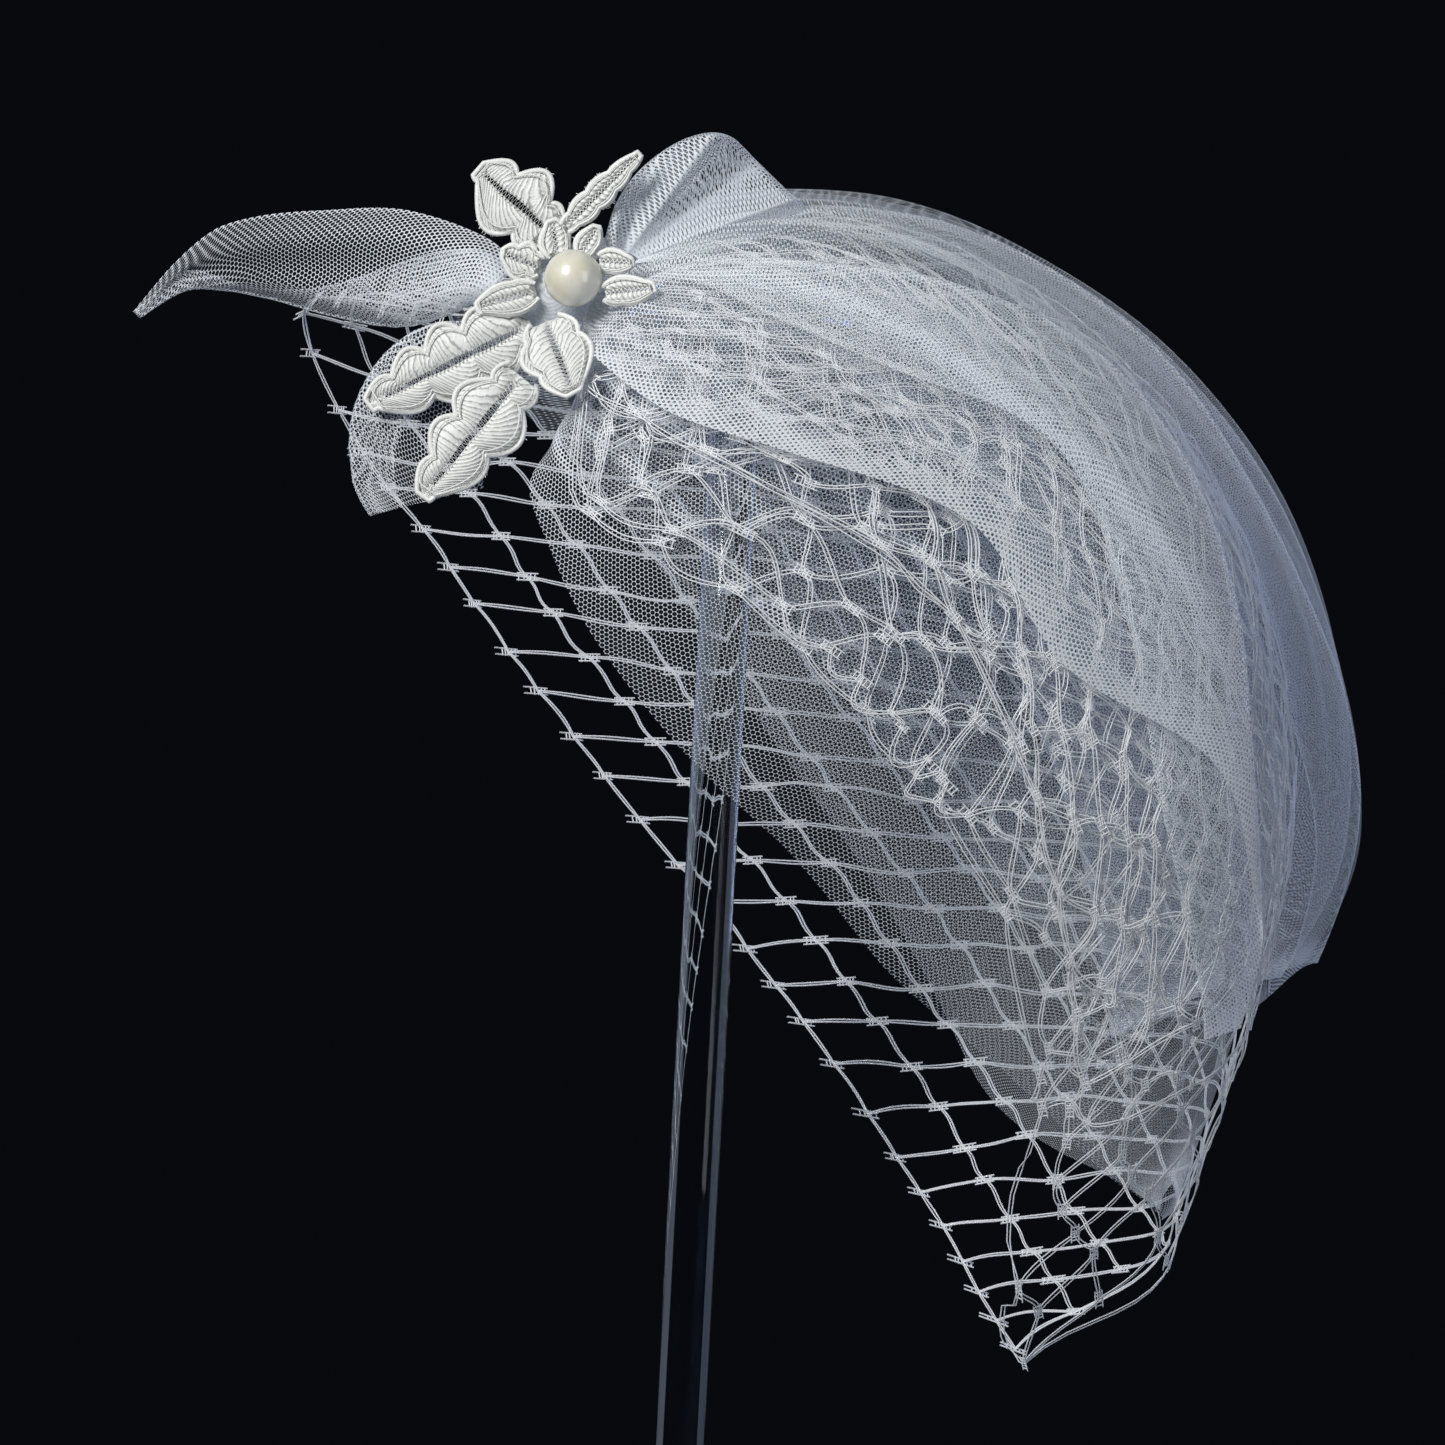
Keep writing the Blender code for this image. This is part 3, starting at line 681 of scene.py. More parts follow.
def outer_tulle_place(share, across):
    """The outer layer with fine folds and pleats, on the form and its puffs."""
    section = np.clip(share, 0, 1) * LAYERS["outer_tulle"][1]
    angle, lift, _ = pleated(section, across, *hem_angles("outer_tulle", section))
    off = layer_lift("outer_tulle", section, angle) + lift + 0.6 * fine_folds(FINE_OUTER, section, angle)
    return hood_point(section, angle) + hood_normal(section, angle) * off[..., None]


def outer_gather(share, across):
    """Tight at the throat, and double along the pleats' edges and the turned hems."""
    section = np.clip(share, 0, 1) * LAYERS["outer_tulle"][1]
    angle, _, edge = pleated(section, across, *hem_angles("outer_tulle", section))
    crease = np.maximum(0.25 * doubled(FINE_OUTER, section, angle), 0.55 * edge)
    hem = 0.5 * bump(across, 0, 0.015) + 0.4 * ease((share - 0.97) / 0.03)
    return np.clip(0.8 * np.exp(-share * 9) + crease + hem, 0, 1)


outer_tulle = cloth("outer_tulle_cloth", "outer_tulle", (170, 300), outer_tulle_place, outer_gather)

# %% [markdown]
# ## Threads
#
# The net can't be a pattern on a sheet, because its threads stand clear of each other and their knots
# are little ladders. So each thread is a real tube. Four sides are enough for a thread of 0.3 mm. All the
# tubes of one piece are splines of one curve, which is turned to a mesh once.

# %% Thread builder
def thread_piece(name, paths, thickness, material, node=None, round_steps=0):
    """One mesh of many thin tubes, each along a path in millimetres. They have four sides, or with
    round_steps more."""
    curve = bpy.data.curves.new(name, "CURVE")
    curve.dimensions = "3D"
    curve.bevel_depth = thickness / 2 * MM
    curve.bevel_resolution = round_steps
    for path in paths:
        spline = curve.splines.new("POLY")
        spline.points.add(len(path) - 1)
        spline.points.foreach_set("co", np.column_stack([path * MM, np.ones(len(path))]).ravel())
    drawn = bpy.data.objects.new(name + "_line", curve)
    bpy.context.collection.objects.link(drawn)
    bpy.context.view_layer.update()
    ready = drawn.evaluated_get(bpy.context.evaluated_depsgraph_get())
    mesh = bpy.data.meshes.new_from_object(ready)
    bpy.data.objects.remove(drawn)
    bpy.data.curves.remove(curve)
    mesh.name = name
    mesh.shade_smooth()
    print(name, "threads", len(paths), "triangles", sum(len(face.vertices) - 2 for face in mesh.polygons))
    return finished_piece(name, mesh, material, node)


print("thread builder ready")

# %% [markdown]
# ## Diamond netting
#
# This veiling is knitted: two threads run side by side from knot to knot, and a knot is a short ladder
# where neighbouring strands are laced together. The net is laid out as a lattice on the hood. On the
# far side one direction runs with the hem, and the other crosses it at a slant, as a straight strand
# does once the cloth is wrapped round. On the near side both cross it, as diamonds, and a slow drift
# over the whole lattice makes them loose and wavy. At the throat the lattice is squeezed.

# %% Net lattice
NET_THREAD = 0.34  # mm, and a pair of these makes a strand
NEAR_THREAD = 0.25  # the near side's threads are stretched thinner
KNOT_LENGTH = 3.8  # mm
KNOT_WIDTH = 1.4
KNOT_RUNGS = 5
KNOT_SHAKE = 0.08  # how far a knot is off its place in the lattice, in cells
EDGE_PULL = 0.45  # a knot nearer to an edge than this, in cells, lies on it
STRAND_STEPS = 9  # points from knot to knot
DRIFT_WAVES = ((1.0, 9.0), (0.6, 5.0), (0.35, 3.4))  # size and length in cells
SIDE_STEP = 0.01  # a share small enough to tell which way the cloth runs


def even_share(name, line):
    """A layer's walked length along one line, and a function from a share of it to the layer's share."""
    fine = np.linspace(0, 1, 400)
    steps = np.linalg.norm(np.diff(layer_point(name, fine, np.full(400, line)), axis=0), axis=-1)
    walked = np.concatenate([[0], np.cumsum(steps)])
    return walked[-1], lambda share: np.interp(share, walked / walked[-1], fine)


def cells_across(name, cell_width, reach):
    """How many cells fit across a layer at each of 80 even shares of it. Towards the throat the count
    stays, so the cells are squeezed there, and towards the far tip whole columns run out over an edge."""
    share, across = np.meshgrid(np.linspace(0, 1, 80), np.linspace(*reach, 60), indexing="ij")
    width = np.linalg.norm(np.diff(layer_point(name, share, across), axis=1), axis=-1).sum(axis=1)
    widest = int(np.argmax(width))
    width[:widest] = width[widest]
    return width / cell_width


def wander(row, column, random):
    """A slow drift over a lattice, in cells, which makes its strands wavy without kinks."""
    drift = 0.0 * row
    for size, length in DRIFT_WAVES:
        way, start = random.uniform(0, 2 * math.pi, 2)
        drift = drift + size * np.sin(2 * np.pi * (row * np.cos(way) + column * np.sin(way)) / length + start)
    return drift


def net_lattice(name, counts, cell_length, slant, lean, seed, drift, off, reach, stop, line, ladder):
    """The knots of a net: their shares, which of them lie on the cloth, their points and their ways.
    Counts are the cells across at even shares. Columns are counted from the far side of the reach. Slant
    moves a column along by so many cells, and lean moves a row across. Ladder is the knots' direction,
    across and along."""
    random = np.random.default_rng(seed)
    length, even = even_share(name, line)
    columns, rows = int(max(counts)) + 2, int(round(stop * length / cell_length))
    spare = int(abs(lean) * (rows + 12)) + 1 if lean else 0
    extra = int(abs(slant) * (columns + spare)) + 1
    row, column = np.meshgrid(
        np.arange(-extra, rows + extra + 1), np.arange(-spare, columns + spare + 1), indexing="ij"
    )
    raw = row + slant * column + drift * wander(row, column, random)
    raw = raw + random.normal(0, KNOT_SHAKE, row.shape)
    live = (raw >= -EDGE_PULL) & (raw <= rows + EDGE_PULL)
    raw = np.where(np.abs(raw - rows) < EDGE_PULL, rows, raw)
    share = even(np.clip(raw / rows, 0, 1) * stop)
    count = np.interp(share, np.linspace(0, 1, len(counts)), counts)
    sideways = drift * wander(row, column, random) * np.minimum(1, np.abs(column))
    place = count - (column + lean * row) - sideways
    live &= (place >= -EDGE_PULL) & (place <= count + EDGE_PULL)
    pulled_far = np.where(np.abs(place - count) < EDGE_PULL, count, place)
    place = np.where(np.abs(place) < EDGE_PULL, 0, pulled_far) / count
    across = reach[0] + (reach[1] - reach[0]) * place
    edges = {"near": live & (place == 0), "far": live & (place == 1), "tip": live & (raw == rows)}
    spots, step = layer_point(name, share, across, off), SIDE_STEP
    ahead = unit(layer_point(name, share + step, across, off) - layer_point(name, share - step, across, off))
    aside = unit(layer_point(name, share, across + step, off) - layer_point(name, share, across - step, off))
    return {
        "share": share, "across": across, "live": live, "spots": spots,
        "lay": unit(ladder[0] * aside + ladder[1] * ahead), "rise": unit(np.cross(ahead, aside)),
        "width": (reach[1] - reach[0]) / count, "edges": edges,
    }


def knot_paths(lattice, seed):
    """A ladder at each knot: two rails and a few rungs, shorter where the net is squeezed. On the first
    column, the free edge, its end sticks out."""
    random = np.random.default_rng(seed)
    spots, lay, rise = lattice["spots"], lattice["lay"], lattice["rise"]
    paths = []
    for r, c in np.argwhere(lattice["live"]):
        beside = c + 1 if c + 1 < spots.shape[1] else c - 1
        room = min(1.0, np.linalg.norm(spots[r, beside] - spots[r, c]) / (2.4 * KNOT_LENGTH))
        half = lay[r, c] * KNOT_LENGTH / 2 * room * random.uniform(0.8, 1.2)
        side = np.cross(rise[r, c], lay[r, c]) * KNOT_WIDTH / 2 * max(room, 0.5)
        for s in (-1, 1):
            end = 1.7 if lattice["edges"]["far"][r, c] else 1.15
            paths.append(spots[r, c] + side * s + np.outer((-1.15, end), half))
        for k in np.linspace(-0.85, 0.85, KNOT_RUNGS):
            step = half * (k + random.normal(0, 0.06))
            paths.append(spots[r, c] + step + np.outer((-1, 1), side * random.uniform(0.9, 1.3)))
    return paths


print("knots have", KNOT_RUNGS, "rungs")

# %% Strands
def spline(before, start, end, after, hold, steps):
    """Points on a smooth curve from start to end, which also heeds the knots before and after. Hold is
    how much of its way across a strand keeps at a knot, where the ladder turns it along the net."""
    t = steps[None, :, None]
    keep = np.stack([np.ones(len(hold)), hold], axis=-1)[:, None, :]
    leave, arrive = 0.5 * (end - before) * keep, 0.5 * (after - start) * keep
    return (
        (2 * t**3 - 3 * t**2 + 1) * start + (t**3 - 2 * t**2 + t) * leave
        + (3 * t**2 - 2 * t**3) * end + (t**3 - t**2) * arrive
    )


def strand_paths(name, lattice, seed, off, swing, hold, bow, gap_width, edge_sag):
    """Pairs of threads from knot to knot, smooth over many knots, and along the edges. A strand along the
    net swings out by a share of a cell and back. Bow bends a strand more, at random, and on the near edge
    the strands hang in arcs."""
    random = np.random.default_rng(seed)
    live, width = lattice["live"], lattice["width"]
    knots = np.stack([lattice["share"], lattice["across"]], axis=-1)
    steps = np.linspace(0, 1, STRAND_STEPS)
    hump, wave = np.sin(np.pi * steps), np.sin(2 * np.pi * steps)
    corners, holds, swings, sags = [], [], [], []

    def knot_at(spot, other):
        """The knot at a spot of the lattice, or where the strand would go on to if there is none."""
        inside = all(0 <= k < n for k, n in zip(spot, live.shape))
        return knots[spot] if inside and live[spot] else other

    for r, c in np.argwhere(live):
        for down, over in ((1, 0), (0, 1)):
            end = (r + down, c + over)
            if end[0] >= live.shape[0] or end[1] >= live.shape[1] or not live[end]:
                continue
            if any(edge[r, c] and edge[end] for edge in lattice["edges"].values()):
                continue
            first, last = knots[r, c], knots[end]
            before = knot_at((r - down, c - over), 2 * first - last)
            after = knot_at((r + 2 * down, c + 2 * over), 2 * last - first)
            corners.append((before, first, last, after))
            holds.append(hold)
            swings.append(swing * width[r, c] * (1.0 if down else 0.35))
            sags.append(0.0)
    for which, edge in lattice["edges"].items():
        order = np.argsort(lattice["across" if which == "tip" else "share"][edge])
        row = knots[edge][order]
        for k, (first, last) in enumerate(zip(row, row[1:])):
            before = row[k - 1] if k else 2 * first - last
            after = row[k + 2] if k + 2 < len(row) else 2 * last - first
            corners.append((before, first, last, after))
            holds.append(1.0)
            swings.append(0.0)
            room = width[edge][order][k]
            sags.append(-room * random.uniform(0.1, 0.5) * edge_sag if which == "near" else 0.0)
    corners = np.array(corners)[:, :, None, :]
    run = spline(*(corners[:, k] for k in range(4)), np.array(holds), steps)
    run[..., 1] -= np.array(swings)[:, None] * wave
    run += random.normal(0, bow, (len(run), 1, 2)) * hump[None, :, None]
    run[..., 1] += np.array(sags)[:, None] * hump
    run = np.clip(run, (0, -0.06), 1)
    lift = random.normal(0, 0.3, (len(run), 1)) * hump
    lines = layer_point(name, run[..., 0], run[..., 1], off + lift)
    ahead = unit(np.gradient(lines, axis=1))
    section, angle = layer_place(name, run[..., 0], run[..., 1])
    side = unit(np.cross(hood_normal(section, angle), ahead))
    gap = gap_width * (0.5 + 0.5 * hump * random.uniform(0.3, 1.4, (len(run), 1)))[..., None]
    return list(lines + side * gap / 2) + list(lines - side * gap / 2)


def net_paths(
    name, counts, cell_length, slant, lean, seed, drift, off=0.0, reach=(0.0, 1.0), stop=1.0, line=0.9,
    ladder=(0.15, 1.0), swing=0.0, hold=0.1, bow=0.003, gap_width=0.75, edge_sag=1.0,
):
    """All the threads of one net, or of the part of it within a reach across."""
    lattice = net_lattice(name, counts, cell_length, slant, lean, seed, drift, off, reach, stop, line, ladder)
    strands = strand_paths(name, lattice, seed, off, swing, hold, bow, gap_width, edge_sag)
    return knot_paths(lattice, seed) + strands


print("a knot is", KNOT_LENGTH, "mm long and", KNOT_WIDTH, "mm wide")

# %% The netting's far and near side
CELL_WIDTH, CELL_LENGTH = 10.8, 10.3  # mm between knots
NEAR_CELL_LENGTH = 8.3  # mm, since a diamond's knots lie nearer along the net
NEAR_COUNTS = (17.0, 18.0, 18.0, 13.0, 7.0)  # cells across at even shares of the length
NET_CREST = 0.5  # the near and far part of the net meet here, along the crest
far_counts = cells_across("birdcage_net", CELL_WIDTH, (NET_CREST, 1.0))
far_paths = net_paths(
    "birdcage_net", far_counts, CELL_LENGTH, slant=0.73, lean=0.0, seed=3, drift=0.04,
    reach=(NET_CREST, 1.0), ladder=(0.8, -0.4), swing=0.03, hold=1.0, bow=0.001, gap_width=0.5, edge_sag=0.0,
)
net_far = thread_piece("birdcage_net_far", far_paths, NET_THREAD, net_thread)
near_paths = net_paths(
    "birdcage_net", NEAR_COUNTS, NEAR_CELL_LENGTH, slant=1.0, lean=-1.0, seed=4, drift=0.3,
    reach=(0.0, NET_CREST), line=0.2,
)
net_near = thread_piece("birdcage_net_near", near_paths, NEAR_THREAD, net_thread, "birdcage_net")

# %% [markdown]
# ## The netting's loose folds
#
# On the near side the netting is bunched, so it lies over itself two or three times. Each of those folds
# is one more lattice, with its own slant, on the part's fold solid or just over it.

# %% Loose folds of the netting
FOLD_LINE = 0.4  # a fold's length is walked along this line
# Layer, cells across at even shares, cell length, slant, lean, seed, drift, height over the layer, reach
# across, and the share of the layer's length at which the fold ends.
NET_FOLDS = (
    ("net_fold", (11, 12, 12, 10, 7), 8.0, 1.0, -1.0, 5, 0.5, 0.0, (0.0, 1.0), 0.86),
    ("net_fold", (9, 10, 11, 10, 7), 8.6, 0.8, -1.2, 8, 0.7, 0.6, (0.0, 0.85), 0.80),
    ("birdcage_net", (12, 13, 13, 11, 8), 8.2, 1.3, -0.8, 12, 0.6, 0.8, (0.01, 0.36), 0.78),
)
fold_paths = []
for layer, counts, length, slant, lean, seed, drift, over, reach, stop in NET_FOLDS:
    fold_paths += net_paths(layer, counts, length, slant, lean, seed, drift, over, reach, stop, FOLD_LINE)
net_fold = thread_piece("net_fold_threads", fold_paths, NEAR_THREAD, net_thread, "net_fold")

# %% [markdown]
# ## Stand
#
# The stand is turned acrylic: a round base, a rod and a small domed cap. A lathe shape is a profile spun
# round the axis, and bmesh has an operator for that. The frame gives the heights, so the clear pieces
# meet as their solids do.

# %% Turned pieces
SHARP_TURN = math.radians(35)  # edges that turn more stay crisp


def turned(name, node, profile, steps, material):
    """Spins a profile of (radius, height) pairs in millimetres round the rod's axis."""
    bm = bmesh.new()
    ring = [bm.verts.new((r * MM, 0, z * MM)) for r, z in profile]
    edges = [bm.edges.new((a, b)) for a, b in zip(ring, ring[1:])]
    bmesh.ops.spin(
        bm, geom=ring + edges, cent=(0, 0, 0), axis=(0, 0, 1), angle=2 * math.pi, steps=steps, use_merge=True
    )
    bmesh.ops.remove_doubles(bm, verts=bm.verts[:], dist=0.01 * MM)
    bmesh.ops.recalc_face_normals(bm, faces=bm.faces[:])
    mesh = bpy.data.meshes.new(name)
    bm.to_mesh(mesh)
    bm.free()
    mesh.shade_smooth()
    mesh.set_sharp_from_angle(angle=SHARP_TURN)
    print(name, "faces", len(mesh.polygons))
    finished_piece(name, mesh, material, node)


BASE_RADIUS, ROD_RADIUS, CAP_RADIUS = 75.0, 4.75, 22.0
CAP_DOME = 9.0  # how high the cap's dome rises over its rim
base_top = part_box("stand_base")[1][2] / MM
rod_low, rod_high = (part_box("stand_rod")[k][2] / MM for k in (0, 1))
cap_low, cap_high = (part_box("stand_cap")[k][2] / MM for k in (0, 1))
print("rod from", round(rod_low, 1), "to", round(rod_high, 1), "mm")

# %% Base, rod and cap
base_top_edge = [(3, 0), (1.6, 0.25), (0.5, 1.1), (0, 2.6)]  # how far in and how far down, in mm
base_foot = [(BASE_RADIUS, 1.2), (BASE_RADIUS - 0.4, 0.35), (BASE_RADIUS - 1.2, 0), (0, 0)]
base_profile = [(BASE_RADIUS - inside, base_top - down) for inside, down in base_top_edge] + base_foot
turned("acrylic_base", "stand_base", [(0, base_top)] + base_profile, 96, acrylic_plate)
rod_edge = [(ROD_RADIUS, 0.4), (ROD_RADIUS - 0.1, 0.1), (ROD_RADIUS - 0.4, 0), (0, 0)]
rod_top = [(r, rod_high - down) for r, down in reversed(rod_edge)]
rod_foot = [(r, rod_low + up) for r, up in rod_edge]
turned("acrylic_rod", "stand_rod", rod_top + rod_foot, 64, acrylic)
cap_rim = cap_high - CAP_DOME
dome = [
    (CAP_RADIUS * math.sin(math.radians(turn)), cap_rim + CAP_DOME * math.cos(math.radians(turn)))
    for turn in range(0, 91, 5)
]
cap_foot = [(CAP_RADIUS, cap_low + 0.5), (CAP_RADIUS - 0.5, cap_low), (0, cap_low)]
turned("acrylic_cap", "stand_cap", dome + cap_foot, 72, acrylic)

# %% [markdown]
# ## Headpiece: the tails and the loop
#
# The ends of the gathered tulle are left long. Each is a strip folded lengthwise, so it has two layers of
# cloth, and its folded edges look brighter than its middle. A strip is a table of places along it, with
# its width and its roll there.

# %% Ribbon tables and builder
TAIL_UPPER = (  # x, y, z, width, roll, cup
    (-42.3, -50.5, 307.5, 8, 0, 1.5), (-47.5, -48.5, 310, 14, 0, 3), (-60, -42, 311, 21, 10, 4),
    (-74, -35, 312, 20, 20, 4), (-86, -30, 313, 17, 30, 3.5), (-94, -29, 312.5, 13, 36, 3),
    (-102, -30, 309, 6, 40, 1.5), (-109.5, -32, 301.5, 1.5, 40, 0),
)
TAIL_LOWER = (
    (-39.4, -55, 299.2, 9, 5, 1.5), (-43, -56, 294.5, 19, 4, 2.5), (-49, -58, 288, 27, 2, 2.5),
    (-53, -60, 281, 28, -4, 1.5), (-54, -61.5, 274.5, 25, -8, 1.2), (-52.5, -62, 268.5, 21, -10, 1),
)
WAVE_TURN = 3.2 * math.pi  # a bit over three half waves across a ribbon
RUN_STEP = 0.05  # rows, over which a ribbon's direction is felt
FRONT = np.array([0.0, -1.0, 0.0])


def ribbon_place(rows, waves, share, across, off):
    """Points of a ribbon's face, off millimetres in front of its solid's back."""
    at = share * (len(rows) - 1)
    row = along(rows, at)
    run = unit(along(rows, at + RUN_STEP)[..., :3] - along(rows, at - RUN_STEP)[..., :3])
    out = unit(FRONT - run * (run @ FRONT)[..., None])
    wide = np.cross(run, out)
    roll = np.radians(row[..., 4:5])
    wide, out = wide * np.cos(roll) + out * np.sin(roll), out * np.cos(roll) - wide * np.sin(roll)
    t = (2 * across - 1)[..., None]
    ripple = waves * np.sin(WAVE_TURN * across[..., None]) * ease(3 * share)[..., None]
    stand = row[..., 5:6] * (1 - t * t) + ripple
    return row[..., :3] + wide * (t * row[..., 3:4] / 2) + out * (stand + off[..., None])


def folded_strip(name, node, rows, waves, cells, pleats, depth, backs, side, packed):
    """A strip with one long edge folded behind it, the upper or left one if side is 1, else the other.
    Backs are the shares of its width that lie double, at even places along it."""

    def doubled_share(share):
        return along(np.array(backs, float)[:, None], share * (len(backs) - 1))[..., 0]

    def place(share, across):
        walk = across * (1 + doubled_share(share))
        t = np.where(walk <= 1, walk, 2 - walk)
        t = t if side > 0 else 1 - t
        behind = ease((walk - 0.97) / 0.06)
        crease = depth * np.sin(pleats * walk * 2 * np.pi + 2.2 * share)
        crease = crease * ease(share * 4) * ease((1 - share) * 5)
        curl = 0.8 * np.sin(3 * np.pi * share + 4 * t) * ease((1 - share) * 4)
        return ribbon_place(rows, waves, share, t, 1.2 - 1.1 * behind + crease + curl)

    def tight(share, across):
        walk = across * (1 + doubled_share(share))
        fold = 0.5 * bump(walk, 1.0, 0.02) + 0.35 * bump(across, 0, 0.012) + 0.3 * bump(across, 1, 0.015)
        return np.clip(0.06 + packed * np.exp(-share * 6) + fold, 0, 1)

    return cloth(name, node, cells, place, tight)


UPPER_BACKS = (0.95, 0.80, 0.55, 0.32, 0.22, 0.30, 0.60, 0.9)
LOWER_BACKS = (0.55, 0.50, 0.35, 0.30)
upper_tail = folded_strip(
    "tail_upper_cloth", "tail_upper", TAIL_UPPER, 0.8, (90, 90), 1.5, 0.4, UPPER_BACKS, -1, 0.7
)
lower_tail = folded_strip(
    "tail_lower_cloth", "tail_lower", TAIL_LOWER, 0.6, (70, 100), 3.0, 0.5, LOWER_BACKS, 1, 0.5
)

# %% Loop over the knot
FAN_FOOT = np.array([-21.5, -61.0, 311.5])
FAN_RIM = (  # round the loop's top, from its left end to its right one
    (-24.5, -61, 316), (-22.5, -61, 323), (-18.4, -61, 329), (-12, -60, 333.5), (-5, -59, 335),
    (1, -57, 333), (9, -54.5, 328), (11.5, -53.5, 325), (5, -56, 319.5), (-5, -59, 314.5),
)
FAN_FOLDS = (  # where across, width, height
    (0.10, 0.05, 2.2), (0.27, 0.06, -2.6), (0.42, 0.05, 2.8), (0.58, 0.06, -2.4), (0.72, 0.05, 2.4),
    (0.88, 0.05, -1.6),
)
FAN_DEPTH = 5.5  # how far the loop's back lies behind its front


def fan_place(share, across):
    """The loop: out from the knot to the rim in front, and back to the knot behind, with radial folds."""
    reach = 1 - np.abs(2 * share - 1) ** 1.5
    behind = ease((share - 0.42) / 0.16)
    turn = np.clip(across + 0.05 * behind * np.sin(5 * across), 0, 1)
    rim = along(FAN_RIM, turn * (len(FAN_RIM) - 1))
    fold = sum(height * bump(turn, centre, width) for centre, width, height in FAN_FOLDS)
    fold = fold * reach * (1 - 1.5 * behind)
    belly = 1.6 * np.sin(np.pi * reach) * (1 - behind) - FAN_DEPTH * behind * np.sqrt(np.clip(reach, 0, 1))
    wilt = 1 - 0.06 * np.cos(9 * across) * reach
    spoke = (rim - FAN_FOOT) * (0.1 + 0.9 * reach * wilt)[..., None]
    return FAN_FOOT + spoke + FRONT * (belly + fold)[..., None]


def fan_gather(share, across):
    """Tight at the knot and double at the rim and along the folds."""
    reach = 1 - np.abs(2 * share - 1) ** 1.5
    crease = sum(0.4 * bump(across, centre, 0.010) for centre, _, _ in FAN_FOLDS)
    return np.clip(0.3 + 0.6 * np.exp(-reach * 5) + crease + 0.3 * bump(share, 0.5, 0.012), 0, 1)


bow = cloth("bow_loop_cloth", "bow_loop", (100, 140), fan_place, fan_gather)

# %% [markdown]
# ## Lace leaves and petals
#
# The lace is cut from a wide embroidered cloth, leaf by leaf. A leaf is two pads of satin stitch, one on
# each side of an open rib, with a thick cord round its scalloped edge. Each pad is a grid that is domed
# and pressed down at its rim, the cord is a tube along the edge, and a zigzag thread crosses the rib.

# %% Leaf tables and form
LEAVES = {  # base, tip, width, lobes, crown, how deep the lobes are cut
    "lace_leaf_long": ((-35.6, -60.9, 300.8), (-63.5, -65.0, 284.6), 13.0, 4, 1.0, 0.42),
    "lace_leaf_low": ((-37.0, -64.4, 291.5), (-53, -67.4, 269), 13.0, 3, 1.0, 0.40),
    "lace_leaf_broad": ((-33.6, -66.4, 300.6), (-27.6, -72.6, 287.6), 11.5, 2, 0.8, 0.22),
    "lace_leaf_top": ((-33.6, -59.9, 316.6), (-47.0, -59.4, 327.2), 13.5, 2, 0.8, 0.45),
    "lace_sprig": ((-31.0, -64.0, 317.2), (-18.6, -66.0, 330.6), 4.2, 4, 0.4, 0.25),
    "petal_left": ((-35.4, -62.4, 306.2), (-45.8, -62.8, 302.6), 5.6, 1, 0.5, 0.15),
    "petal_upper_left": ((-35.0, -61.6, 310.4), (-42.0, -61.6, 312.5), 6.2, 2, 0.4, 0.35),
    "petal_top": ((-32.2, -62.2, 312.3), (-33.4, -62.0, 318.8), 5.0, 1, 0.4, 0.15),
    "petal_upper_right": ((-28.0, -64.2, 312.8), (-25.4, -64.2, 317.8), 3.8, 1, 0.3, 0.15),
    "petal_right": ((-24.8, -66.0, 311.6), (-18.6, -67.2, 311.4), 4.0, 1, 0.3, 0.15),
    "petal_lower_right": ((-23.4, -68.2, 305.8), (-14.4, -71.3, 307.0), 4.8, 1, 0.4, 0.2),
}
SPREAD = 1.12  # the soft edge of real lace lies a little past its solid


def leaf_point(leaf, share, t, off):
    """Points of a leaf: share runs from base to tip, t from -1 to 1 across, off is the height over it."""
    base, tip, width, lobes, crown, cut = LEAVES[leaf]
    start, end = np.array(base, float), np.array(tip, float)
    run = unit(end - start)
    out = unit(FRONT - run * (run @ FRONT))
    wide = np.cross(run, out)
    body = np.sin(np.pi * (0.06 + 0.90 * share)) ** 0.62 * (1.12 - 0.42 * share)
    way = np.sign(t)
    beat = (lobes + 0.25 * way) * np.pi * np.clip(share, 0, 1) ** (1.0 + 0.12 * way) + 0.35 * way
    edge = 1 - cut + cut * 1.15 * np.abs(np.cos(beat)) ** 0.7
    aside = wide * (t * width / 2 * SPREAD * body * edge)[..., None]
    stand = crown * np.sin(np.pi * share) * (1 - t * t) + off
    return start + (end - start) * share[..., None] + aside + out * stand[..., None]


print("leaves and petals:", len(LEAVES))

# %% Stitched pads
PAD_SPREAD = 0.95  # how near the edge a pad reaches
RIB_SPREAD = 0.05  # how wide the open rib is, as a share of the leaf
RIB_OPEN = 0.84  # and how long
PAD_EDGE = 0.2  # mm, how high a pad's edge lies over the leaf's form
PAD_DOME = 0.8  # mm, how high its middle rises over that
PAD_RISE = 0.45  # mm, how much more the padding lifts the stitches


def stitched_leaf(leaf):
    """Both pads of a leaf as one piece, joined at its tip and base by the cord."""

    def place(share, across):
        side = np.where(across < 0.5, -1.0, 1.0)
        reach = np.abs(2 * across - 1)
        t = side * (RIB_SPREAD + (PAD_SPREAD - RIB_SPREAD) * reach)
        dome = np.sqrt(np.clip(np.sin(np.pi * np.clip(reach, 0, 1)), 0, 1))
        ends = ease(share / 0.08) * ease((1 - share) / 0.08)
        height = PAD_EDGE + PAD_DOME * dome * ends + PAD_RISE * dome * ends
        return leaf_point(leaf, 0.02 + 0.96 * share, t, height)

    return cloth(leaf + "_stitches", leaf, (60, 25), place, None, satin_stitch, RIB_OPEN)


leaves = [stitched_leaf(leaf) for leaf in LEAVES]

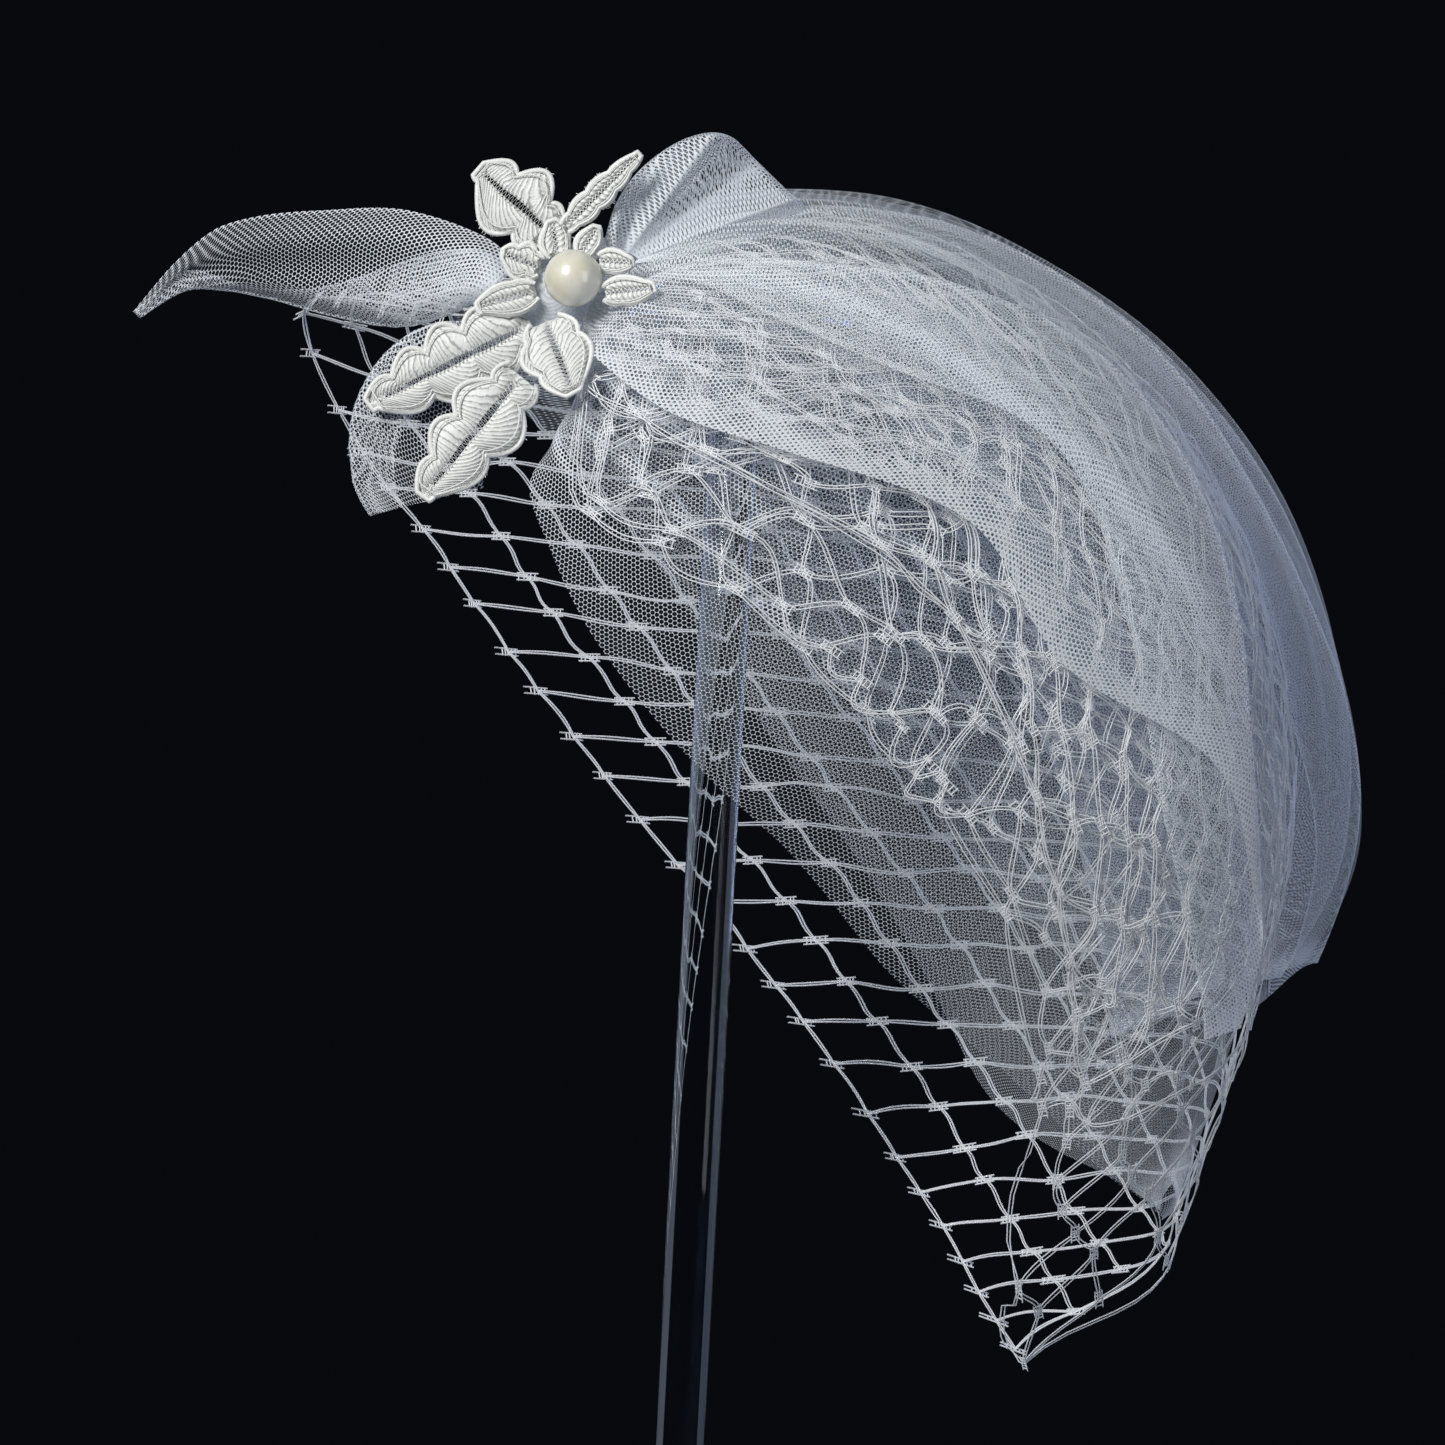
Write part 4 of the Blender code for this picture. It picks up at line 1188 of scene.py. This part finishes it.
# %% Edge cords, rib threads and fringe
EDGE_CORD, RIB_THREAD, FRINGE_FIBRE = 0.9, 0.28, 0.13  # mm thick
EDGE_HEIGHT, INNER_HEIGHT, RIB_HEIGHT = 0.75, 1.85, 1.25  # mm over the leaf's form
CORD_POINTS, RIB_TURNS, FIBRES = 6, 2.4, 3.2  # for each mm of a leaf


def leaf_threads(leaf, seed):
    """The edge cord, the thinner cord inside it, the zigzag over the rib and the loose fibres of a leaf."""
    random = np.random.default_rng(seed)
    base, tip, width = LEAVES[leaf][:3]
    length = math.dist(base, tip)
    round_leaf = np.linspace(0, 2, int(length * CORD_POINTS))
    share = np.where(round_leaf <= 1, round_leaf, 2 - round_leaf)
    side = np.where(round_leaf <= 1, 1.0, -1.0)
    edge = leaf_point(leaf, share, side, np.full(share.shape, EDGE_HEIGHT))
    inner = leaf_point(leaf, 0.05 + 0.9 * share, side * 0.80, np.full(share.shape, INNER_HEIGHT))
    zig = np.linspace(0.06, 0.94, int(length * RIB_TURNS))
    turns = np.where(np.arange(len(zig)) % 2, 1.0, -1.0) * (RIB_SPREAD + 0.09)
    rib = leaf_point(leaf, zig, turns, np.full(zig.shape, RIB_HEIGHT))
    hairs = []
    for _ in range(int(length * FIBRES)):
        at, way = random.uniform(0.02, 0.98), random.choice((-1.0, 1.0))
        reach = 1 + random.uniform(0.12, 0.34) * 5 / width
        spot = np.array([at, at + random.normal(0, 0.02)])
        lift = np.array([0.5, random.uniform(0.2, 1.2)])
        hairs.append(leaf_point(leaf, spot, way * np.array([1.0, reach]), lift))
    return edge, inner, rib, hairs


edges, thin_cords, fringe = [], [], []
for seed, leaf in enumerate(LEAVES):
    edge, inner, rib, hairs = leaf_threads(leaf, seed)
    edges.append(edge)
    thin_cords += [inner, rib]
    fringe += hairs
lace_edges = thread_piece("lace_edge_cords", edges, EDGE_CORD, lace_cord_finish, round_steps=2)
lace_thin = thread_piece("lace_rib_threads", thin_cords, RIB_THREAD, lace_cord_finish, round_steps=1)
lace_fringe = thread_piece("lace_fringe", fringe, FRINGE_FIBRE, lace_cord_finish)

# %% [markdown]
# ## The knot and the pearl
#
# All the tulle comes together in a knot under the pearl. It's a pad of tight pleats that run out from its
# middle. The pearl is a smooth bead with a small drilled hole at each side, where the thread goes in.

# %% Knot
KNOT_CENTRE = np.array([-33.2, -52.2, 306.5])
KNOT_RADII = np.array([8.2, 9.5, 10.6])
KNOT_INSET = 0.98  # the cloth lies just inside its solid's pleats
KNOT_PLEATS = 17
KNOT_TIGHT = 0.8  # how tightly the cloth is gathered there


def knot_place(share, across):
    """An ellipsoid with its pole to the front, and pleats that run back from it."""
    turn, fall = 2 * np.pi * across, np.pi * (0.02 + 0.96 * share)
    pleat = 1 - 0.05 * (1 + np.cos(KNOT_PLEATS * turn + 1.2 * np.sin(2 * turn))) * np.sin(fall)
    round_x, round_z = np.cos(turn) * np.sin(fall) * pleat, np.sin(turn) * np.sin(fall) * pleat
    ball = np.stack([round_x, -np.cos(fall), round_z], -1)
    return KNOT_CENTRE + ball * KNOT_RADII * KNOT_INSET


def knot_gather(share, across):
    """Equally tight all over."""
    return np.full(share.shape, KNOT_TIGHT)


knot = cloth("gather_knot_cloth", "gather_knot", (40, 170), knot_place, knot_gather)

# %% Pearl
PEARL_CENTRE = Vector((-29.0, -68.2, 308.2)) * MM
PEARL_RADIUS = 5.0 * MM
DRILL = 0.10  # the hole's radius, as a share of the pearl's
DRILL_FLOOR = 0.86  # how far out the hole's floor lies
PEARL_TURN = math.radians(78)  # the thread runs nearly level through the bead
bm = bmesh.new()
bmesh.ops.create_uvsphere(bm, u_segments=72, v_segments=48, radius=PEARL_RADIUS)
for v in bm.verts:
    if math.hypot(v.co.x, v.co.y) < PEARL_RADIUS * DRILL:
        v.co.z *= DRILL_FLOOR
bmesh.ops.rotate(bm, verts=bm.verts[:], cent=(0, 0, 0), matrix=Matrix.Rotation(PEARL_TURN, 3, "Y"))
bmesh.ops.translate(bm, verts=bm.verts[:], vec=PEARL_CENTRE)
pearl_mesh = bpy.data.meshes.new("pearl_bead")
bm.to_mesh(pearl_mesh)
bm.free()
pearl_mesh.shade_smooth()
finished_piece("pearl_bead", pearl_mesh, pearl_finish, "pearl")
print("pearl", round(PEARL_RADIUS / MM * 2, 1), "mm")

# %% [markdown]
# ## Camera, light and floor
#
# The photo is taken level from the front with a long lens, and turned three degrees. The cloth is seen
# against black, because white cloth this sheer only shows on black. So the surroundings are a plain near
# black, and the pale floor lies below the picture. The light is soft. The key comes from the upper left
# in front, two cooler lamps behind light the cloth's rims, and two very weak ones low down are only there
# for the rod, whose edges are seen by what they mirror.

# %% Camera
DISTANCE = 0.8  # metres from the rod
PICTURE_WIDTH = 0.2726  # metres that the picture is wide at the rod
TURN = math.radians(3.04)
AIM = Vector((0.0008, 0.0, 0.233))
lens = bpy.data.cameras.new("camera")
lens.lens = lens.sensor_width * DISTANCE / PICTURE_WIDTH
camera = bpy.data.objects.new("camera", lens)
right = Vector((math.cos(TURN), 0, math.sin(TURN)))
up = Vector((-math.sin(TURN), 0, math.cos(TURN)))
back = Vector((0, -1, 0))
turned_axes = Matrix((right, up, back)).transposed().to_4x4()
camera.matrix_world = Matrix.Translation(AIM + back * DISTANCE) @ turned_axes
bpy.context.collection.objects.link(camera)
bpy.context.scene.camera = camera
print("lens", round(lens.lens, 1), "mm")

# %% Colour view, surroundings and floor
# The standard view keeps white thread white and the air between it dark.
bpy.context.scene.view_settings.view_transform = "Standard"
STUDIO_DARK, STUDIO_STRENGTH = "#14171d", 0.35
world = bpy.data.worlds.new("dark studio")
world.use_nodes = True
surroundings = world.node_tree.nodes["Background"]
surroundings.inputs["Color"].default_value = linear(STUDIO_DARK)
surroundings.inputs["Strength"].default_value = STUDIO_STRENGTH
bpy.context.scene.world = world

FLOOR_RADIUS = 0.30  # small, so that the rod doesn't mirror a bright floor
floor_material, floor_tree = new_material("floor, matt pale board")
finish_with(
    floor_tree,
    add_node(floor_tree, "ShaderNodeBsdfPrincipled", {"Base Color": linear("#c9cacc"), "Roughness": 0.9}),
)
bm = bmesh.new()
bmesh.ops.create_circle(bm, cap_ends=True, radius=FLOOR_RADIUS, segments=96)
floor_mesh = bpy.data.meshes.new("floor")
bm.to_mesh(floor_mesh)
bm.free()
floor_mesh.materials.append(floor_material)
floor = bpy.data.objects.new("floor", floor_mesh)
bpy.context.collection.objects.link(floor)
print("floor radius", FLOOR_RADIUS)

# %% Lights
LIGHTS = (  # name, place, aim, width, height, watts, colour
    ("key", (-0.42, -0.72, 0.66), (0.0, -0.02, 0.25), 0.25, 0.4, 7.6, "#ffffff"),
    ("fill", (1.0, -0.9, 0.4), (0.0, 0.0, 0.22), 0.5, 0.9, 2.4, "#e4edff"),
    ("rear_left", (-0.95, 0.95, 0.6), (0.0, 0.0, 0.22), 0.7, 0.7, 1.0, "#8fb2ff"),
    ("rear_right", (0.95, 0.9, 0.5), (0.0, 0.0, 0.2), 0.7, 0.7, 6.5, "#b4cbff"),
    ("low_left", (-0.95, 0.95, 0.08), (0.0, 0.0, 0.08), 0.7, 0.5, 0.09, "#c8d6f0"),
    ("low_right", (0.95, 0.9, 0.08), (0.0, 0.0, 0.08), 0.7, 0.5, 0.11, "#e4ecff"),
)
for name, place, aim, width, height, watts, colour in LIGHTS:
    lamp = bpy.data.lights.new(name, "AREA")
    lamp.shape = "RECTANGLE"
    lamp.size = width
    lamp.size_y = height
    lamp.energy = watts
    lamp.color = linear(colour)[:3]
    softbox = bpy.data.objects.new(name, lamp)
    softbox.visible_camera = False  # so that no lamp stands behind the veil in a turned view
    facing = (Vector(place) - Vector(aim)).to_track_quat("Z", "Y")
    softbox.matrix_world = Matrix.Translation(place) @ facing.to_matrix().to_4x4()
    bpy.context.collection.objects.link(softbox)
print("lights:", len(LIGHTS))
